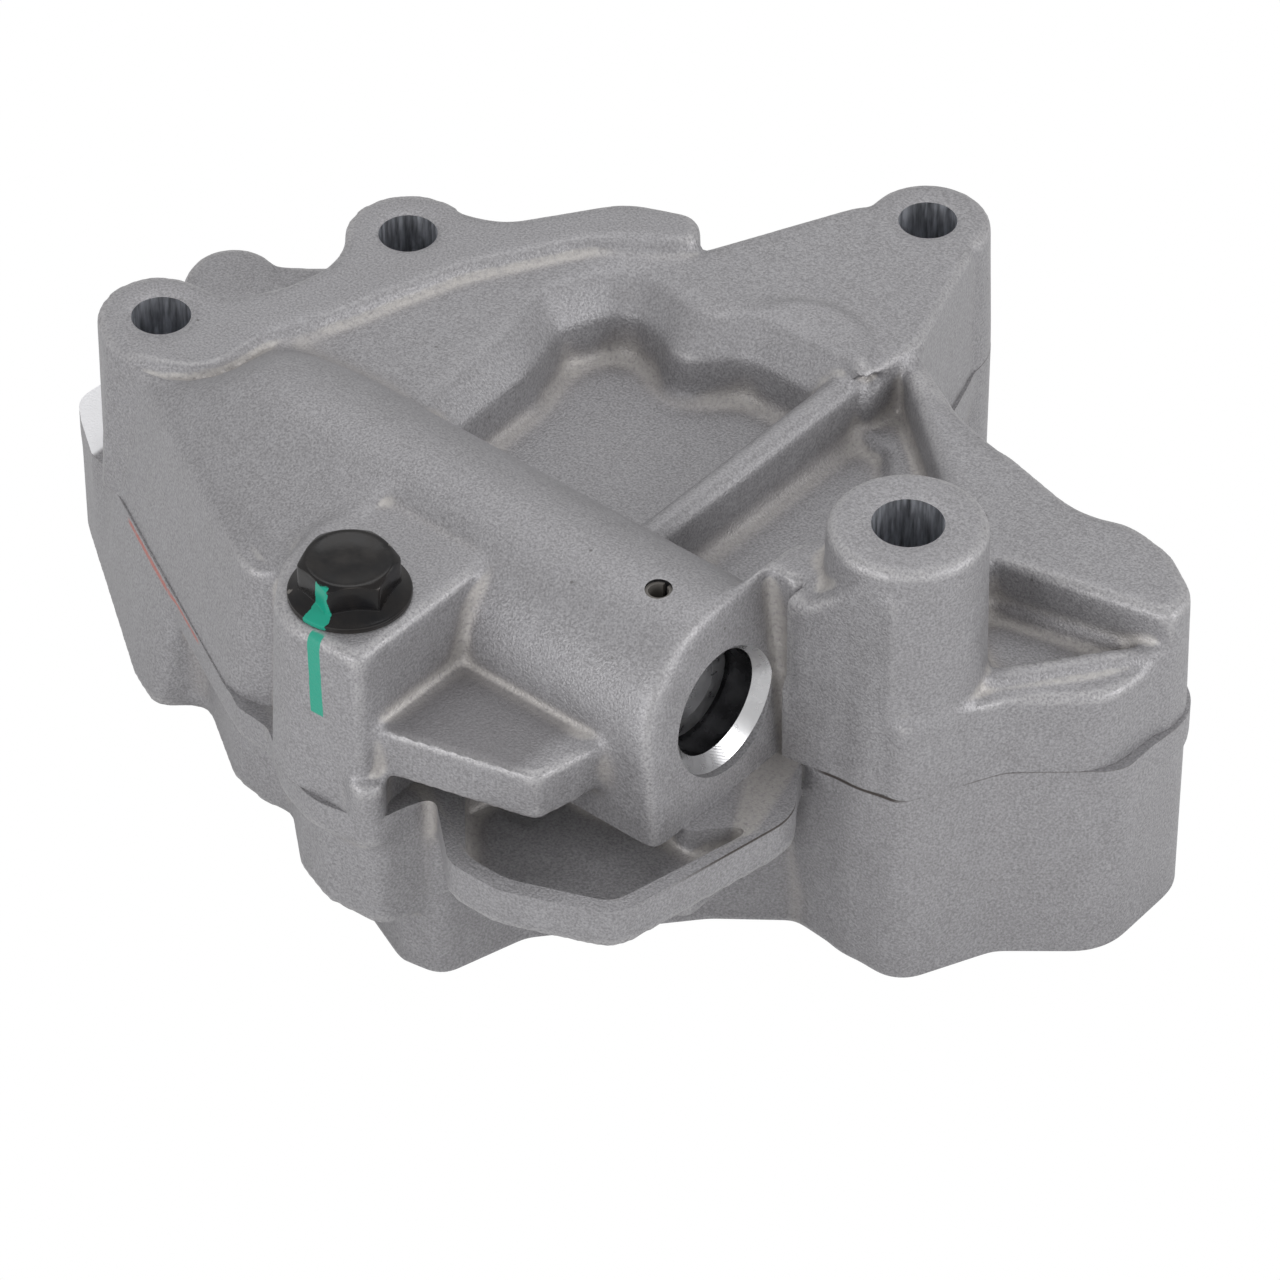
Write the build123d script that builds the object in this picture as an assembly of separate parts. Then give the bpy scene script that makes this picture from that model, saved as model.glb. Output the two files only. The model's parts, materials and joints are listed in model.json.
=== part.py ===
from build123d import *
import math
import os

os.makedirs("parts", exist_ok=True)

# Engine oil pump with two spur gears and a relief valve, in millimetres.
# The origin is the drive shaft's axis on the mounting face.
# +X runs along the relief valve, out of its mouth. +Z points from the body to the cover.

# Heights over the mounting face
split_height = 34.0        # face where the two castings meet
skirt_floor = 12.0         # lower edge of the body's raised left part

# Heights over the split face
rim_height = 26.0
deck_height = 24.0
right_deck_height = 21.8
pocket_floor_height = 12.0
pocket_flare_depth = 4.5   # sloping upper edge of the pockets
lobe_floor_height = 12.0
lobe_ledge_height = 14.0
lobe_ridge_height = 15.5
rib_height = 22.0
web_height = 32.0
tall_boss_height = 41.0
pad_height = 29.0
shelf_height = 15.0
shelf_underside = 6.5
nub_position = (25.2, -69.6)
nub_radius = 2.8

# Mounting holes for M8 bolts, and the tall boss for an M10 bolt
hole_a = (-52.3, -28.0)
hole_b = (-37.3, 10.7)
hole_c = (19.6, 65.8)
hole_d = (74.0, -8.5)
mount_hole_radius = 4.5
tall_hole_radius = 5.25
lobe_radius = 9.6
tall_boss_radius = 11.6
lug_position = (-63.3, -1.0)
lug_radius = 7.0
lug_height = 12.0          # over the split face

# Gears
gear_teeth = 12
gear_module = 3.0
pressure_angle = 25.0
gear_width = 20.0
gear_end_play = 0.06
gear_tip_clearance = 0.3
gear_backlash = 0.12
addendum_share = 0.95
dedendum_share = 1.2

# Shafts and bearings
shaft_radius = 7.5
idler_shaft_radius = 7.5
bush_wall = 2.0
bush_length = 9.0
bearing_relief = 3.0       # recess round the drive end, outside the bush
shaft_end_gap = 0.5        # between a shaft's upper end and its blind bore
drive_end_height = 1.0     # the drive end stands this far inside the mounting face
idler_shaft_foot = 3.0     # lower end of the idler shaft over the mounting face
running_clearance = 0.03
fitted_clearance = 0.01
hex_socket_width = 8.0
hex_socket_depth = 10.0
key_width = 4.0
key_height = 4.0
key_length = 12.0
circlip_thickness = 1.2
circlip_depth = 0.7
circlip_stand = 2.4        # how far it stands out of the shaft
circlip_gap = 7.0
circlip_clearance = 0.3

# Relief valve
valve_y = -32.3
valve_height = 14.5        # over the split face
valve_bore_radius = 8.5
valve_mouth_x = 60.5
valve_seat_x = 12.0
valve_feed_length = 12.0
valve_feed_radius = 7.0
valve_mouth_chamfer = 2.0
barrel_radius = 17.2
barrel_foot_x = 62.3       # the end face leans out to here at the split face
fade_start_x = -16.0       # left of here the barrel sinks into the deck
fade_end_x = -45.0
fade_radius = 11.4
piston_length = 17.0
piston_travel = 6.0
piston_wall = 2.0
piston_head = 3.0
piston_clearance = 0.03
spill_lap = 1.5            # the closed piston covers the spill port by this much
spill_width = 4.0
spill_channel_depth = 5.0
spring_wire_radius = 0.9
spring_wire_sides = 8
spring_coils = 6
spring_gap = 0.4           # between the coils and the piston's inner wall
shim_thickness = 1.0
shim_hole_radius = 3.0
plug_length = 12.0
plug_x = 42.0              # inner end of the plug
plug_clearance = 0.05
plug_recess_radius = 5.0
plug_recess_depth = 2.0
roll_pin_position = (49.2, -33.6)
roll_pin_radius = 2.0
roll_pin_wall = 0.5
roll_pin_slot = 0.8
roll_pin_foot = 11.0       # below the bore's axis
roll_pin_sink = 0.6        # below the barrel's ridge
roll_pin_play = 0.05

# Fasteners
bolt_position = (14.4, -60.2)
bolt_radius = 4.0
bolt_flange_radius = 8.95
bolt_flange_height = 1.6
bolt_head_width = 13.0
bolt_head_height = 8.0
bolt_length = 45.0
bolt_washer_slope = 1.5    # cone between the flange's rim and the hexagon
bolt_dish_radius = 5.0
bolt_dish_depth = 0.4
bolt_turn = 12.0           # degrees
screw_positions = [(-25.0, 17.5), (-32.0, -30.0), (60.0, 18.0), (90.0, 12.0)]
screw_radius = 3.0
screw_head_radius = 5.0
screw_head_height = 6.0
screw_head_seat = 18.0     # over the mounting face
screw_key_width = 5.0
screw_key_depth = 3.0
screw_engagement = 9.0
dowel_positions = [(-20.0, -38.0), (64.0, 8.0)]
dowel_radius = 4.0
dowel_wall = 1.0
dowel_length = 10.0
thread_clearance = 0.5

# Ports in the mounting face
inlet_position = (18.0, 37.0)
inlet_radius = 9.0
outlet_position = (12.0, -32.0)
outlet_radius = 6.5
ring_wire_radius = 1.2
ring_stand_off = 2.2
ring_squeeze = 0.4
ring_side_gap = 0.1

# Castings
side_draft = 4.3
wall_draft = 1.0
kidney_draft = 8.0
rib_bevel = 1.4
front_pocket_draft = 3.0
floor_fillet = 2.5
edge_bevel = 0.8
barrel_rounding = 2.5      # round the mouth's face
flange_thickness = 6.0
tray_depth = 7.0
tray_floor = 2.5

gear_distance = gear_teeth * gear_module
pitch_radius = gear_distance / 2
tip_radius = pitch_radius + gear_module * addendum_share
root_radius = pitch_radius - gear_module * dedendum_share
chamber_radius = tip_radius + gear_tip_clearance
idler_axis = (gear_distance, 0.0)
chamber_floor = split_height - gear_width - gear_end_play
gear_bottom = chamber_floor + gear_end_play / 2
bush_radius = shaft_radius + bush_wall
valve_z = split_height + valve_height
pad_z = split_height + pad_height


def outline(corners):
    """Face through corners given as (x, y, radius of the rounding)."""
    spans = []
    for index, (x, y, radius) in enumerate(corners):
        here = Vector(x, y)
        after_corner = corners[(index + 1) % len(corners)]
        before = (Vector(*corners[index - 1][:2]) - here).normalized()
        after = (Vector(*after_corner[:2]) - here).normalized()
        half_angle = math.radians(before.get_angle(after)) / 2
        reach = radius / math.tan(half_angle)
        bisector = (before + after).normalized()
        middle = here + bisector * (radius / math.sin(half_angle) - radius)
        spans.append((here + before * reach, middle, here + after * reach, radius))
    edges = []
    for index, (start, middle, end, radius) in enumerate(spans):
        if radius > 0:
            edges.append(Edge.make_three_point_arc(start, middle, end))
        following = spans[(index + 1) % len(spans)][0]
        if (following - end).length > 1e-4:
            edges.append(Edge.make_line(end, following))
    return Face(Wire(edges))


def inset(corners, distance):
    """The same outline moved inwards, with the same roundings."""
    count = len(corners)
    doubled_area = 0.0
    for index, (x, y, radius) in enumerate(corners):
        following = corners[(index + 1) % count]
        doubled_area += x * following[1] - following[0] * y
    winding = 1 if doubled_area > 0 else -1
    moved = []
    for index, (x, y, radius) in enumerate(corners):
        here = Vector(x, y)
        before = (Vector(*corners[index - 1][:2]) - here).normalized()
        after = (Vector(*corners[(index + 1) % count][:2]) - here).normalized()
        half_angle = math.radians(before.get_angle(after)) / 2
        convex = winding if before.cross(after).Z < 0 else -winding
        point = here + (before + after).normalized() * (convex * distance / math.sin(half_angle))
        moved.append((point.X, point.Y, radius))
    return moved


def prism(corners, bottom, top, draft=0.0, bevel=0.0):
    """Casting block between two heights, narrower towards its top by the draft."""
    lower = Pos(0, 0, bottom) * outline(corners)
    if draft == 0:
        block = extrude(lower, top - bottom, dir=(0, 0, 1))
    else:
        shift = (top - bottom) * math.tan(math.radians(draft))
        upper = Pos(0, 0, top) * outline(inset(corners, shift))
        block = loft([lower, upper], ruled=True)
    if bevel > 0:
        block = chamfer(block.faces().sort_by(Axis.Z)[-1].edges(), bevel)
    return block


def boss(position, radius, bottom, top, draft=0.0, bevel=0.0):
    """Round boss whose radius is given at its top."""
    height = top - bottom
    if draft == 0:
        block = Cylinder(radius, height)
    else:
        block = Cone(radius + height * math.tan(math.radians(draft)), radius, height)
    block = Pos(position[0], position[1], bottom + height / 2) * block
    if bevel > 0:
        block = chamfer(block.faces().sort_by(Axis.Z)[-1].edges(), bevel)
    return block


def bore(position, radius, bottom, top):
    """Round hole between two heights."""
    height = top - bottom
    return Pos(position[0], position[1], bottom + height / 2) * Cylinder(radius, height)


def pocket(corners, floor, top, flare, foot):
    """Cutter for a cast pocket, wider at its top, with a rounded foot."""
    cutter = prism(corners, floor, top, -flare)
    return fillet(cutter.faces().sort_by(Axis.Z)[0].edges(), foot)


def flared_edge(corners, flare, floor, top):
    """Cutter for the sloping upper edge of a cast pocket whose deck is at the top."""
    low = top - pocket_flare_depth
    reached = (low - floor) * math.tan(math.radians(flare))
    return prism(inset(corners, -reached), low, top + 1, -45.0)


def along_x(y, z, radius, start, end):
    """Cylinder along X."""
    middle = (start + end) / 2
    return Pos(middle, y, z) * Rot(0, 90, 0) * Cylinder(radius, end - start)


def save(shape, name):
    """Write one node."""
    shape.label = name
    export_step(shape, "parts/" + name + ".step")


# Upper casting

left_deck = [
    (-57.5, -35.0, 2), (-4.0, -64.0, 6), (24.0, -48.0, 2), (31.0, 30.0, 2), (-2.0, 38.0, 2),
    (-14.0, 38.0, 4), (-31.0, 18.0, 4), (-41.0, 2.0, 4), (-43.0, -14.0, 3), (-57.0, -24.0, 3),
]
rim = [
    (-56.5, -18.9, 0), (-48.0, -17.6, 7), (-43.4, -10.5, 8), (-41.3, -2.0, 12), (-45.5, 6.0, 3),
    (-47.0, 12.0, 4), (-44.0, 18.0, 6), (-35.0, 20.4, 3), (-28.5, 22.6, 10), (-17.5, 38.5, 12),
    (-6.0, 43.2, 4), (-1.5, 37.5, 2), (-4.5, 33.8, 6), (-15.0, 26.5, 14), (-25.0, 9.5, 20),
    (-31.0, -9.0, 20), (-36.0, -22.5, 10), (-40.0, -27.5, 6), (-40.0, -36.0, 5), (-44.0, -40.2, 3),
    (-55.0, -38.6, 4), (-61.5, -31.0, 6),
]
corner_arm = [
    (-2.6, 38.5, 0), (9.5, 64.5, 6), (29.4, 66.5, 4), (33.0, 55.5, 18), (38.0, 41.5, 8),
    (36.5, 30.0, 0), (26.0, 23.0, 0), (-2.0, 23.0, 0),
]
right_deck = [
    (36.5, 42.5, 1), (49.5, 35.4, 10), (77.5, 28.4, 14), (85.0, 31.2, 8), (93.5, 29.6, 8),
    (102.0, 24.0, 6), (102.6, 17.3, 1), (75.0, 10.9, 1), (70.0, -2.0, 1), (62.0, 2.0, 6),
    (57.5, 20.5, 10), (36.5, 37.5, 1),
]
right_base = [
    (24.0, -49.1, 0), (60.0, -49.1, 0), (60.0, -24.0, 0), (63.0, -19.4, 2), (82.5, -19.6, 3),
    (90.0, -4.5, 6), (101.0, 5.0, 10), (102.2, 25.0, 10), (93.5, 29.9, 8), (85.0, 31.6, 8),
    (77.5, 28.8, 14), (49.5, 35.8, 10), (36.5, 43.0, 4), (20.0, 40.0, 0), (-4.0, 34.0, 0),
    (-4.0, -40.0, 0),
]
front_web = [
    (56.0, -33.0, 0), (63.6, -33.0, 0), (63.6, -19.0, 3), (81.5, -19.2, 3), (85.0, -8.0, 6),
    (74.0, -2.0, 4), (62.5, -4.0, 3), (56.8, -14.0, 5),
]
kidney_pocket = [
    (-4.6, -20.0, 3), (-5.6, 3.0, 10), (-8.6, 14.0, 5), (-4.6, 22.8, 5), (2.0, 21.6, 5),
    (9.0, 18.0, 5), (16.5, 25.5, 6), (30.6, 25.8, 3), (30.6, -20.0, 3),
]
front_pocket = [
    (35.4, -20.0, 3), (35.4, 29.0, 2), (41.6, 28.6, 3), (49.6, 19.5, 6), (54.4, 3.5, 5),
    (61.0, -3.6, 3), (57.0, -10.0, 4), (57.0, -22.0, 3),
]
rib = [(29.2, -25.0, 0), (35.6, -25.0, 0), (35.6, 38.0, 0), (29.2, 38.0, 0)]
lobe_recess = [(78.0, -3.0, 2), (85.4, -3.0, 2), (100.0, 16.0, 1), (74.0, 9.9, 2)]
ridge = [(84.3, -2.2, 0), (86.0, -5.2, 0), (102.0, 17.0, 0), (99.5, 18.0, 0)]
shelf = [(25.0, -68.2, 0), (50.0, -61.4, 1.5), (53.0, -48.0, 1), (25.0, -48.0, 0)]
lug_arm = [
    (-69.6, -4.5, 0), (-61.7, 4.6, 3), (-54.6, 9.9, 3), (-46.0, 18.0, 0), (-38.0, 8.0, 0),
    (-44.0, -18.0, 0), (-62.0, -20.0, 0),
]
bolt_block = [
    (1.0, -62.0, 4), (6.5, -69.8, 6), (12.0, -72.2, 7), (26.2, -71.6, 2), (26.2, -40.0, 2),
    (8.0, -36.0, 6), (-2.0, -50.0, 8),
]


def below_split():
    """Everything below the split face."""
    corner = (Align.CENTER, Align.CENTER, Align.MAX)
    return Pos(0, 0, split_height) * Box(300, 300, 300, align=corner)


def mouth_plane(width):
    """Everything outside the leaning plane of the valve's mouth."""
    lean = math.degrees(math.atan2(barrel_foot_x - valve_mouth_x, valve_height))
    corner = (Align.MIN, Align.CENTER, Align.CENTER)
    outside = Box(20, width, 2 * pad_z, align=corner)
    return Pos(barrel_foot_x, valve_y, split_height) * Rot(0, -lean, 0) * outside


def barrel_fade():
    """Left end of the barrel, sinking into the deck in a long arc."""
    start = Vector(fade_start_x, barrel_radius)
    end = Vector(fade_end_x, fade_radius)
    crest = Edge.make_tangent_arc(start, Vector(-1, 0), end)
    sides = Polyline(end, (fade_end_x, 0), (fade_start_x, 0), start)
    profile = Face(Wire([crest] + sides.edges()))
    fade = Pos(0, valve_y, valve_z) * revolve(profile, Axis.X)
    return fade & prism(left_deck, split_height, split_height + tall_boss_height, side_draft)


def valve_barrel():
    """Arched barrel over the relief valve, fading into the deck at its left end."""
    length = barrel_foot_x - fade_start_x
    middle = (fade_start_x + barrel_foot_x) / 2
    arch = along_x(valve_y, valve_z, barrel_radius, fade_start_x, barrel_foot_x)
    flank = Pos(middle, valve_y, (split_height + valve_z) / 2)
    arch += flank * Box(length, 2 * barrel_radius, valve_height)
    arch -= mouth_plane(2 * barrel_radius + 10)
    end_face = arch.faces().sort_by(Axis.X)[-1]
    arch = fillet(end_face.edges().filter_by(GeomType.LINE, reverse=True), barrel_rounding)
    return arch - below_split()


def apron():
    """Sloping skin from the edge of the left wall up to the barrel."""
    sections = []
    for x, edge_y, edge_height, inner_y, inner_height in (
        (-41.0, -42.2, deck_height - 0.2, valve_y, 25.5),
        (-30.0, -47.6, deck_height - 0.2, valve_y, 29.4),
        (4.0, -61.5, deck_height + 2.5, valve_y - 5.0, 30.8),
    ):
        low = split_height + pocket_floor_height
        section = Polyline(
            (x, edge_y, low), (x, edge_y, split_height + edge_height),
            (x, inner_y, split_height + inner_height), (x, inner_y, low), close=True)
        sections.append(make_face(section))
    return loft(sections, ruled=True)


def relief_bore():
    """Everything drilled for the relief valve."""
    seat_end = valve_seat_x - valve_feed_length
    hole = along_x(valve_y, valve_z, valve_bore_radius, valve_seat_x, valve_mouth_x + 1)
    hole += along_x(valve_y, valve_z, valve_feed_radius, seat_end, valve_seat_x + 1)
    mouth = Pos(valve_mouth_x - valve_mouth_chamfer / 2 + 0.05, valve_y, valve_z)
    mouth_radius = valve_bore_radius + valve_mouth_chamfer
    mouth = mouth * Rot(0, 90, 0)
    hole += mouth * Cone(valve_bore_radius, mouth_radius, valve_mouth_chamfer + 0.1)
    hole += along_x(valve_y, valve_z, mouth_radius, valve_mouth_x, barrel_foot_x + 1)
    feed = (valve_seat_x - valve_feed_length / 2, valve_y)
    hole += bore(feed, 4.0, split_height - 1, valve_z)
    spill = Pos(valve_seat_x + spill_lap, valve_y - valve_bore_radius - 5.0, split_height)
    corner = (Align.MIN, Align.MIN, Align.MIN)
    hole += spill * Box(spill_width, valve_bore_radius, valve_height, align=corner)
    pin_top = valve_z + barrel_radius + 1
    hole += bore(roll_pin_position, roll_pin_radius, valve_z - roll_pin_foot, pin_top)
    return hole


def make_cover():
    """Upper casting."""
    base = split_height
    pocket_floor = base + pocket_floor_height
    cover = prism(left_deck, base, base + deck_height, side_draft)
    cover += prism(rim, base, base + rim_height, wall_draft, edge_bevel)
    cover += boss(hole_a, lobe_radius, base, base + rim_height, 0.5)
    cover += boss(hole_b, lobe_radius, base, base + rim_height, 0.5)
    cover += boss(hole_c, lobe_radius, base, base + deck_height, 2.0, edge_bevel)
    cover += boss(lug_position, lug_radius, base, base + lug_height, wall_draft, edge_bevel)
    cover += prism(lug_arm, base, base + lug_height - 0.6)
    cover += prism(corner_arm, base, base + deck_height, wall_draft, edge_bevel)
    cover += prism(right_base, base, base + lobe_ledge_height, wall_draft)
    cover += prism(right_deck, base, base + right_deck_height, wall_draft, edge_bevel)
    cover -= pocket(kidney_pocket, pocket_floor, base + 40, kidney_draft, floor_fillet)
    cover -= flared_edge(kidney_pocket, kidney_draft, pocket_floor, base + deck_height)
    cover -= pocket(front_pocket, pocket_floor, base + 40, front_pocket_draft, floor_fillet)
    cover -= flared_edge(front_pocket, front_pocket_draft, pocket_floor, base + right_deck_height)
    cover -= prism(lobe_recess, base + lobe_floor_height, base + 20)
    cover += prism(ridge, base, base + lobe_ridge_height)
    cover += prism(rib, base, base + rib_height, 2.0, rib_bevel)
    cover += valve_barrel()
    cover += barrel_fade()
    cover += apron()
    cover += prism(bolt_block, base, base + pad_height, 2.5, edge_bevel)
    cover += prism(shelf, base + shelf_underside, base + shelf_height)
    cover += boss(nub_position, nub_radius, base, base + shelf_underside)
    cover += prism(front_web, base - 2, base + web_height, wall_draft, edge_bevel) - below_split()
    cover -= mouth_plane(24.0)
    cover += boss(hole_d, tall_boss_radius, base, base + tall_boss_height, wall_draft, edge_bevel)
    for position in (hole_a, hole_b, hole_c):
        cover -= bore(position, mount_hole_radius, base - 1, base + 60)
    cover -= bore(hole_d, tall_hole_radius, base - 1, base + 60)
    cover -= bore(bolt_position, bolt_radius + thread_clearance, base - 1, base + 60)
    cover -= relief_bore()
    cover -= bore((0.0, 0.0), bush_radius, base - 1, base + bush_length + shaft_end_gap)
    cover -= bore(idler_axis, idler_shaft_radius, base - 1, base + bush_length + shaft_end_gap)
    for position in screw_positions:
        cover -= bore(position, screw_radius, base - 1, base + screw_engagement + 1)
    for position in dowel_positions:
        cover -= bore(position, dowel_radius, base - 1, base + dowel_length / 2)
    return cover


# Lower casting

flange_outline = [
    (-60.5, -35.9, 4), (-4.6, -65.0, 3), (2.0, -65.4, 2), (9.0, -70.2, 8), (17.0, -72.9, 10),
    (27.2, -71.2, 3), (30.0, -60.5, 1), (62.3, -60.5, 1), (64.2, -20.2, 3), (82.5, -19.9, 4),
    (90.0, -4.8, 6), (101.9, 4.4, 10), (103.6, 25.2, 10), (93.5, 30.2, 8), (85.0, 31.8, 8),
    (77.5, 29.0, 14), (49.5, 36.0, 10), (36.8, 43.2, 4), (33.4, 56.0, 18), (29.6, 66.8, 4),
    (9.3, 64.8, 6), (-2.8, 40.0, 3), (-17.8, 38.8, 12), (-28.8, 22.9, 10), (-36.0, 20.4, 3),
    (-46.8, 14.6, 6), (-54.8, 10.2, 4), (-62.8, 6.6, 5), (-70.9, -3.0, 6), (-70.5, -19.0, 6),
    (-71.2, -28.6, 5),
]
skirt_outline = [
    (-69.2, -30.2, 5), (-38.5, -52.0, 5), (-31.0, -55.6, 4), (-25.0, -50.2, 4), (-11.0, -59.5, 5),
    (-4.8, -60.6, 4), (1.2, -60.2, 3), (9.5, -67.5, 4), (17.0, -70.3, 5), (27.0, -69.5, 3),
    (31.0, -60.0, 2), (36.0, -47.5, 2), (60.0, -40.0, 2), (60.0, 34.0, 2), (36.5, 42.0, 4),
    (33.0, 56.0, 12), (29.0, 66.5, 4), (10.0, 64.5, 6), (-2.0, 41.0, 3), (-17.0, 37.5, 12),
    (-28.0, 22.0, 10), (-36.0, 19.5, 3), (-46.2, 14.2, 6), (-54.4, 9.6, 4), (-62.3, 6.0, 5),
    (-70.2, -3.4, 6), (-69.0, -20.0, 6),
]
deep_outline = [
    (6.5, -55.5, 4), (24.8, -63.2, 4), (31.8, -62.0, 4), (36.0, -48.0, 4), (54.0, -27.5, 6),
    (64.0, -19.6, 3), (72.0, -20.2, 6), (83.6, -20.6, 6), (90.4, -6.0, 5), (102.9, 4.4, 10),
    (102.4, 25.0, 9), (90.0, 31.0, 8), (77.0, 28.0, 14), (50.0, 35.0, 10), (36.0, 42.5, 4), (33.0, 56.0, 12),
    (29.0, 66.5, 4), (10.0, 64.5, 6), (-2.0, 41.0, 6), (-22.0, 29.0, 8), (-36.0, 20.0, 6),
    (-46.5, 14.0, 7), (-44.0, 2.0, 6), (-25.0, -8.0, 8), (-20.0, -30.0, 8), (0.0, -45.0, 8),
]
tray = [
    (27.0, -58.0, 1), (41.0, -70.3, 5), (50.0, -70.3, 8), (66.5, -63.5, 6), (72.6, -31.0, 8),
    (64.6, -20.4, 1), (60.0, -24.0, 0), (34.0, -46.0, 0),
]
tray_hollow = [
    (33.0, -57.5, 1.5), (41.9, -67.6, 3.5), (49.6, -67.6, 6), (64.3, -61.6, 4), (70.4, -35.0, 1),
    (62.8, -43.8, 2), (58.0, -42.5, 2), (36.5, -46.5, 2),
]


def ring_groove(position, port_radius):
    """Groove for a sealing ring round a port in the mounting face."""
    inner = port_radius + ring_stand_off
    outer = inner + 2 * ring_wire_radius + ring_squeeze
    depth = 2 * ring_wire_radius - ring_squeeze
    return bore(position, outer, -1, depth) - bore(position, inner, -2, depth + 1)


def make_body():
    """Lower casting with the gear chamber."""
    body = prism(flange_outline, split_height - flange_thickness, split_height)
    body += prism(skirt_outline, skirt_floor, split_height)
    body += prism(deep_outline, 0, split_height)
    body += prism(tray, split_height - tray_depth, split_height)
    body += boss(hole_a, lobe_radius - 2.5, skirt_floor, split_height)
    body += boss(hole_b, lobe_radius, 0, split_height)
    body += boss(hole_c, lobe_radius + 0.8, 0, split_height)
    body += boss(hole_d, tall_boss_radius + 0.5, 0, split_height)
    body -= prism(tray_hollow, split_height - tray_depth + tray_floor, split_height + 10)
    for axis in ((0.0, 0.0), idler_axis):
        body -= bore(axis, chamber_radius, chamber_floor, split_height + 1)
    body -= bore((0.0, 0.0), bush_radius, chamber_floor - bush_length, split_height)
    body -= bore((0.0, 0.0), bush_radius + bearing_relief, -1, chamber_floor - bush_length)
    body -= bore(idler_axis, idler_shaft_radius, idler_shaft_foot, split_height)
    port_floor = chamber_floor
    mesh_x = gear_distance / 2
    inlet_chamber = prism(
        [(mesh_x - 9, 12.0, 3), (mesh_x + 9, 12.0, 3), (mesh_x + 8, 44.0, 7), (mesh_x - 8, 44.0, 7)],
        port_floor, split_height + 1)
    outlet_chamber = prism(
        [(3.0, -34.0, 3), (10.0, -36.5, 4), (18.0, -34.0, 4), (24.0, -12.0, 3), (12.0, -12.0, 3)],
        port_floor, split_height + 1)
    body -= inlet_chamber
    body -= outlet_chamber
    body -= bore(inlet_position, inlet_radius, -1, port_floor + 1)
    body -= bore(outlet_position, outlet_radius, -1, port_floor + 1)
    body -= ring_groove(inlet_position, inlet_radius)
    body -= ring_groove(outlet_position, outlet_radius)
    for position in (hole_a, hole_b, hole_c):
        body -= bore(position, mount_hole_radius, -1, split_height + 1)
    body -= bore(hole_d, tall_hole_radius, -1, split_height + 1)
    body -= prism(spill_channel, split_height - spill_channel_depth, split_height + 1)
    body -= bore(bolt_position, bolt_radius, pad_z - bolt_length - 2, split_height + 1)
    for position in screw_positions:
        body -= bore(position, screw_radius + thread_clearance, -1, split_height + 1)
        body -= bore(position, screw_head_radius + thread_clearance, -1, screw_head_seat)
    for position in dowel_positions:
        body -= bore(position, dowel_radius, split_height - dowel_length / 2, split_height + 1)
    return body


# Gears and shafts

def spur_gear(axis, turn, bore_radius):
    """Involute spur gear, its first tooth at the given turn in degrees."""
    base_radius = pitch_radius * math.cos(math.radians(pressure_angle))
    half_thickness = (math.pi * gear_module - gear_backlash) / (4 * pitch_radius)
    half_base = half_thickness + involute(math.radians(pressure_angle))
    flank_radii = (base_radius, (base_radius + tip_radius) / 2, tip_radius)
    flank = []
    for radius in flank_radii:
        flank.append((radius, half_base - involute(math.acos(base_radius / radius))))
    pitch = 2 * math.pi / gear_teeth
    edges = []
    for tooth in range(gear_teeth):
        centre = math.radians(turn) + tooth * pitch
        rising = [polar(radius, centre - angle) for radius, angle in flank]
        falling = [polar(radius, centre + angle) for radius, angle in reversed(flank)]
        root_start = polar(root_radius, centre - half_base)
        root_end = polar(root_radius, centre + half_base)
        next_root = polar(root_radius, centre + pitch - half_base)
        edges.append(Edge.make_line(root_start, rising[0]))
        edges.append(Edge.make_three_point_arc(*rising))
        edges.append(Edge.make_three_point_arc(rising[2], polar(tip_radius, centre), falling[0]))
        edges.append(Edge.make_three_point_arc(*falling))
        edges.append(Edge.make_line(falling[2], root_end))
        middle = polar(root_radius, centre + pitch / 2)
        edges.append(Edge.make_three_point_arc(root_end, middle, next_root))
    profile = Face(Wire(edges))
    gear = Pos(axis[0], axis[1], gear_bottom) * extrude(profile, gear_width)
    return gear - bore(axis, bore_radius, gear_bottom - 1, gear_bottom + gear_width + 1)


def involute(angle):
    """Involute function of a pressure angle in radians."""
    return math.tan(angle) - angle


def polar(radius, angle):
    """Point at a radius and an angle in radians."""
    return Vector(radius * math.cos(angle), radius * math.sin(angle))


def key_block(side_gap, end_gap):
    """Key between the drive shaft and its gear, or the cutter for its keyways."""
    block = Box(key_height + end_gap, key_width + side_gap, key_length + end_gap)
    return Pos(shaft_radius, 0, gear_bottom + gear_width / 2) * block


def circlip_ring(inner_radius, outer_radius, thickness):
    """Ring round the drive shaft, just below the body's bush."""
    middle = chamber_floor - bush_length - circlip_clearance - circlip_thickness / 2
    low = middle - thickness / 2
    high = middle + thickness / 2
    origin = (0.0, 0.0)
    return bore(origin, outer_radius, low, high) - bore(origin, inner_radius, low - 1, high + 1)


def make_drive_shaft():
    """Shaft with a hexagon socket at its lower end, a keyway and a circlip groove."""
    shaft = bore((0.0, 0.0), shaft_radius, drive_end_height, split_height + bush_length)
    shaft = chamfer(shaft.edges().group_by(Axis.Z)[-1], 0.8)
    hexagon = RegularPolygon(hex_socket_width / 2, 6, major_radius=False)
    shaft -= Pos(0, 0, drive_end_height) * extrude(hexagon, hex_socket_depth)
    shaft -= key_block(2 * fitted_clearance, 0.2)
    groove_radius = shaft_radius - circlip_depth
    shaft -= circlip_ring(groove_radius, shaft_radius + 1, circlip_thickness + 0.1)
    return shaft


def make_circlip():
    """Open ring that holds the drive shaft up against its bush."""
    inner = shaft_radius - circlip_depth + fitted_clearance
    ring = circlip_ring(inner, shaft_radius + circlip_stand, circlip_thickness)
    return ring - Pos(-shaft_radius, 0, 0) * Box(2 * shaft_radius - 4, circlip_gap, split_height)


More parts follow.
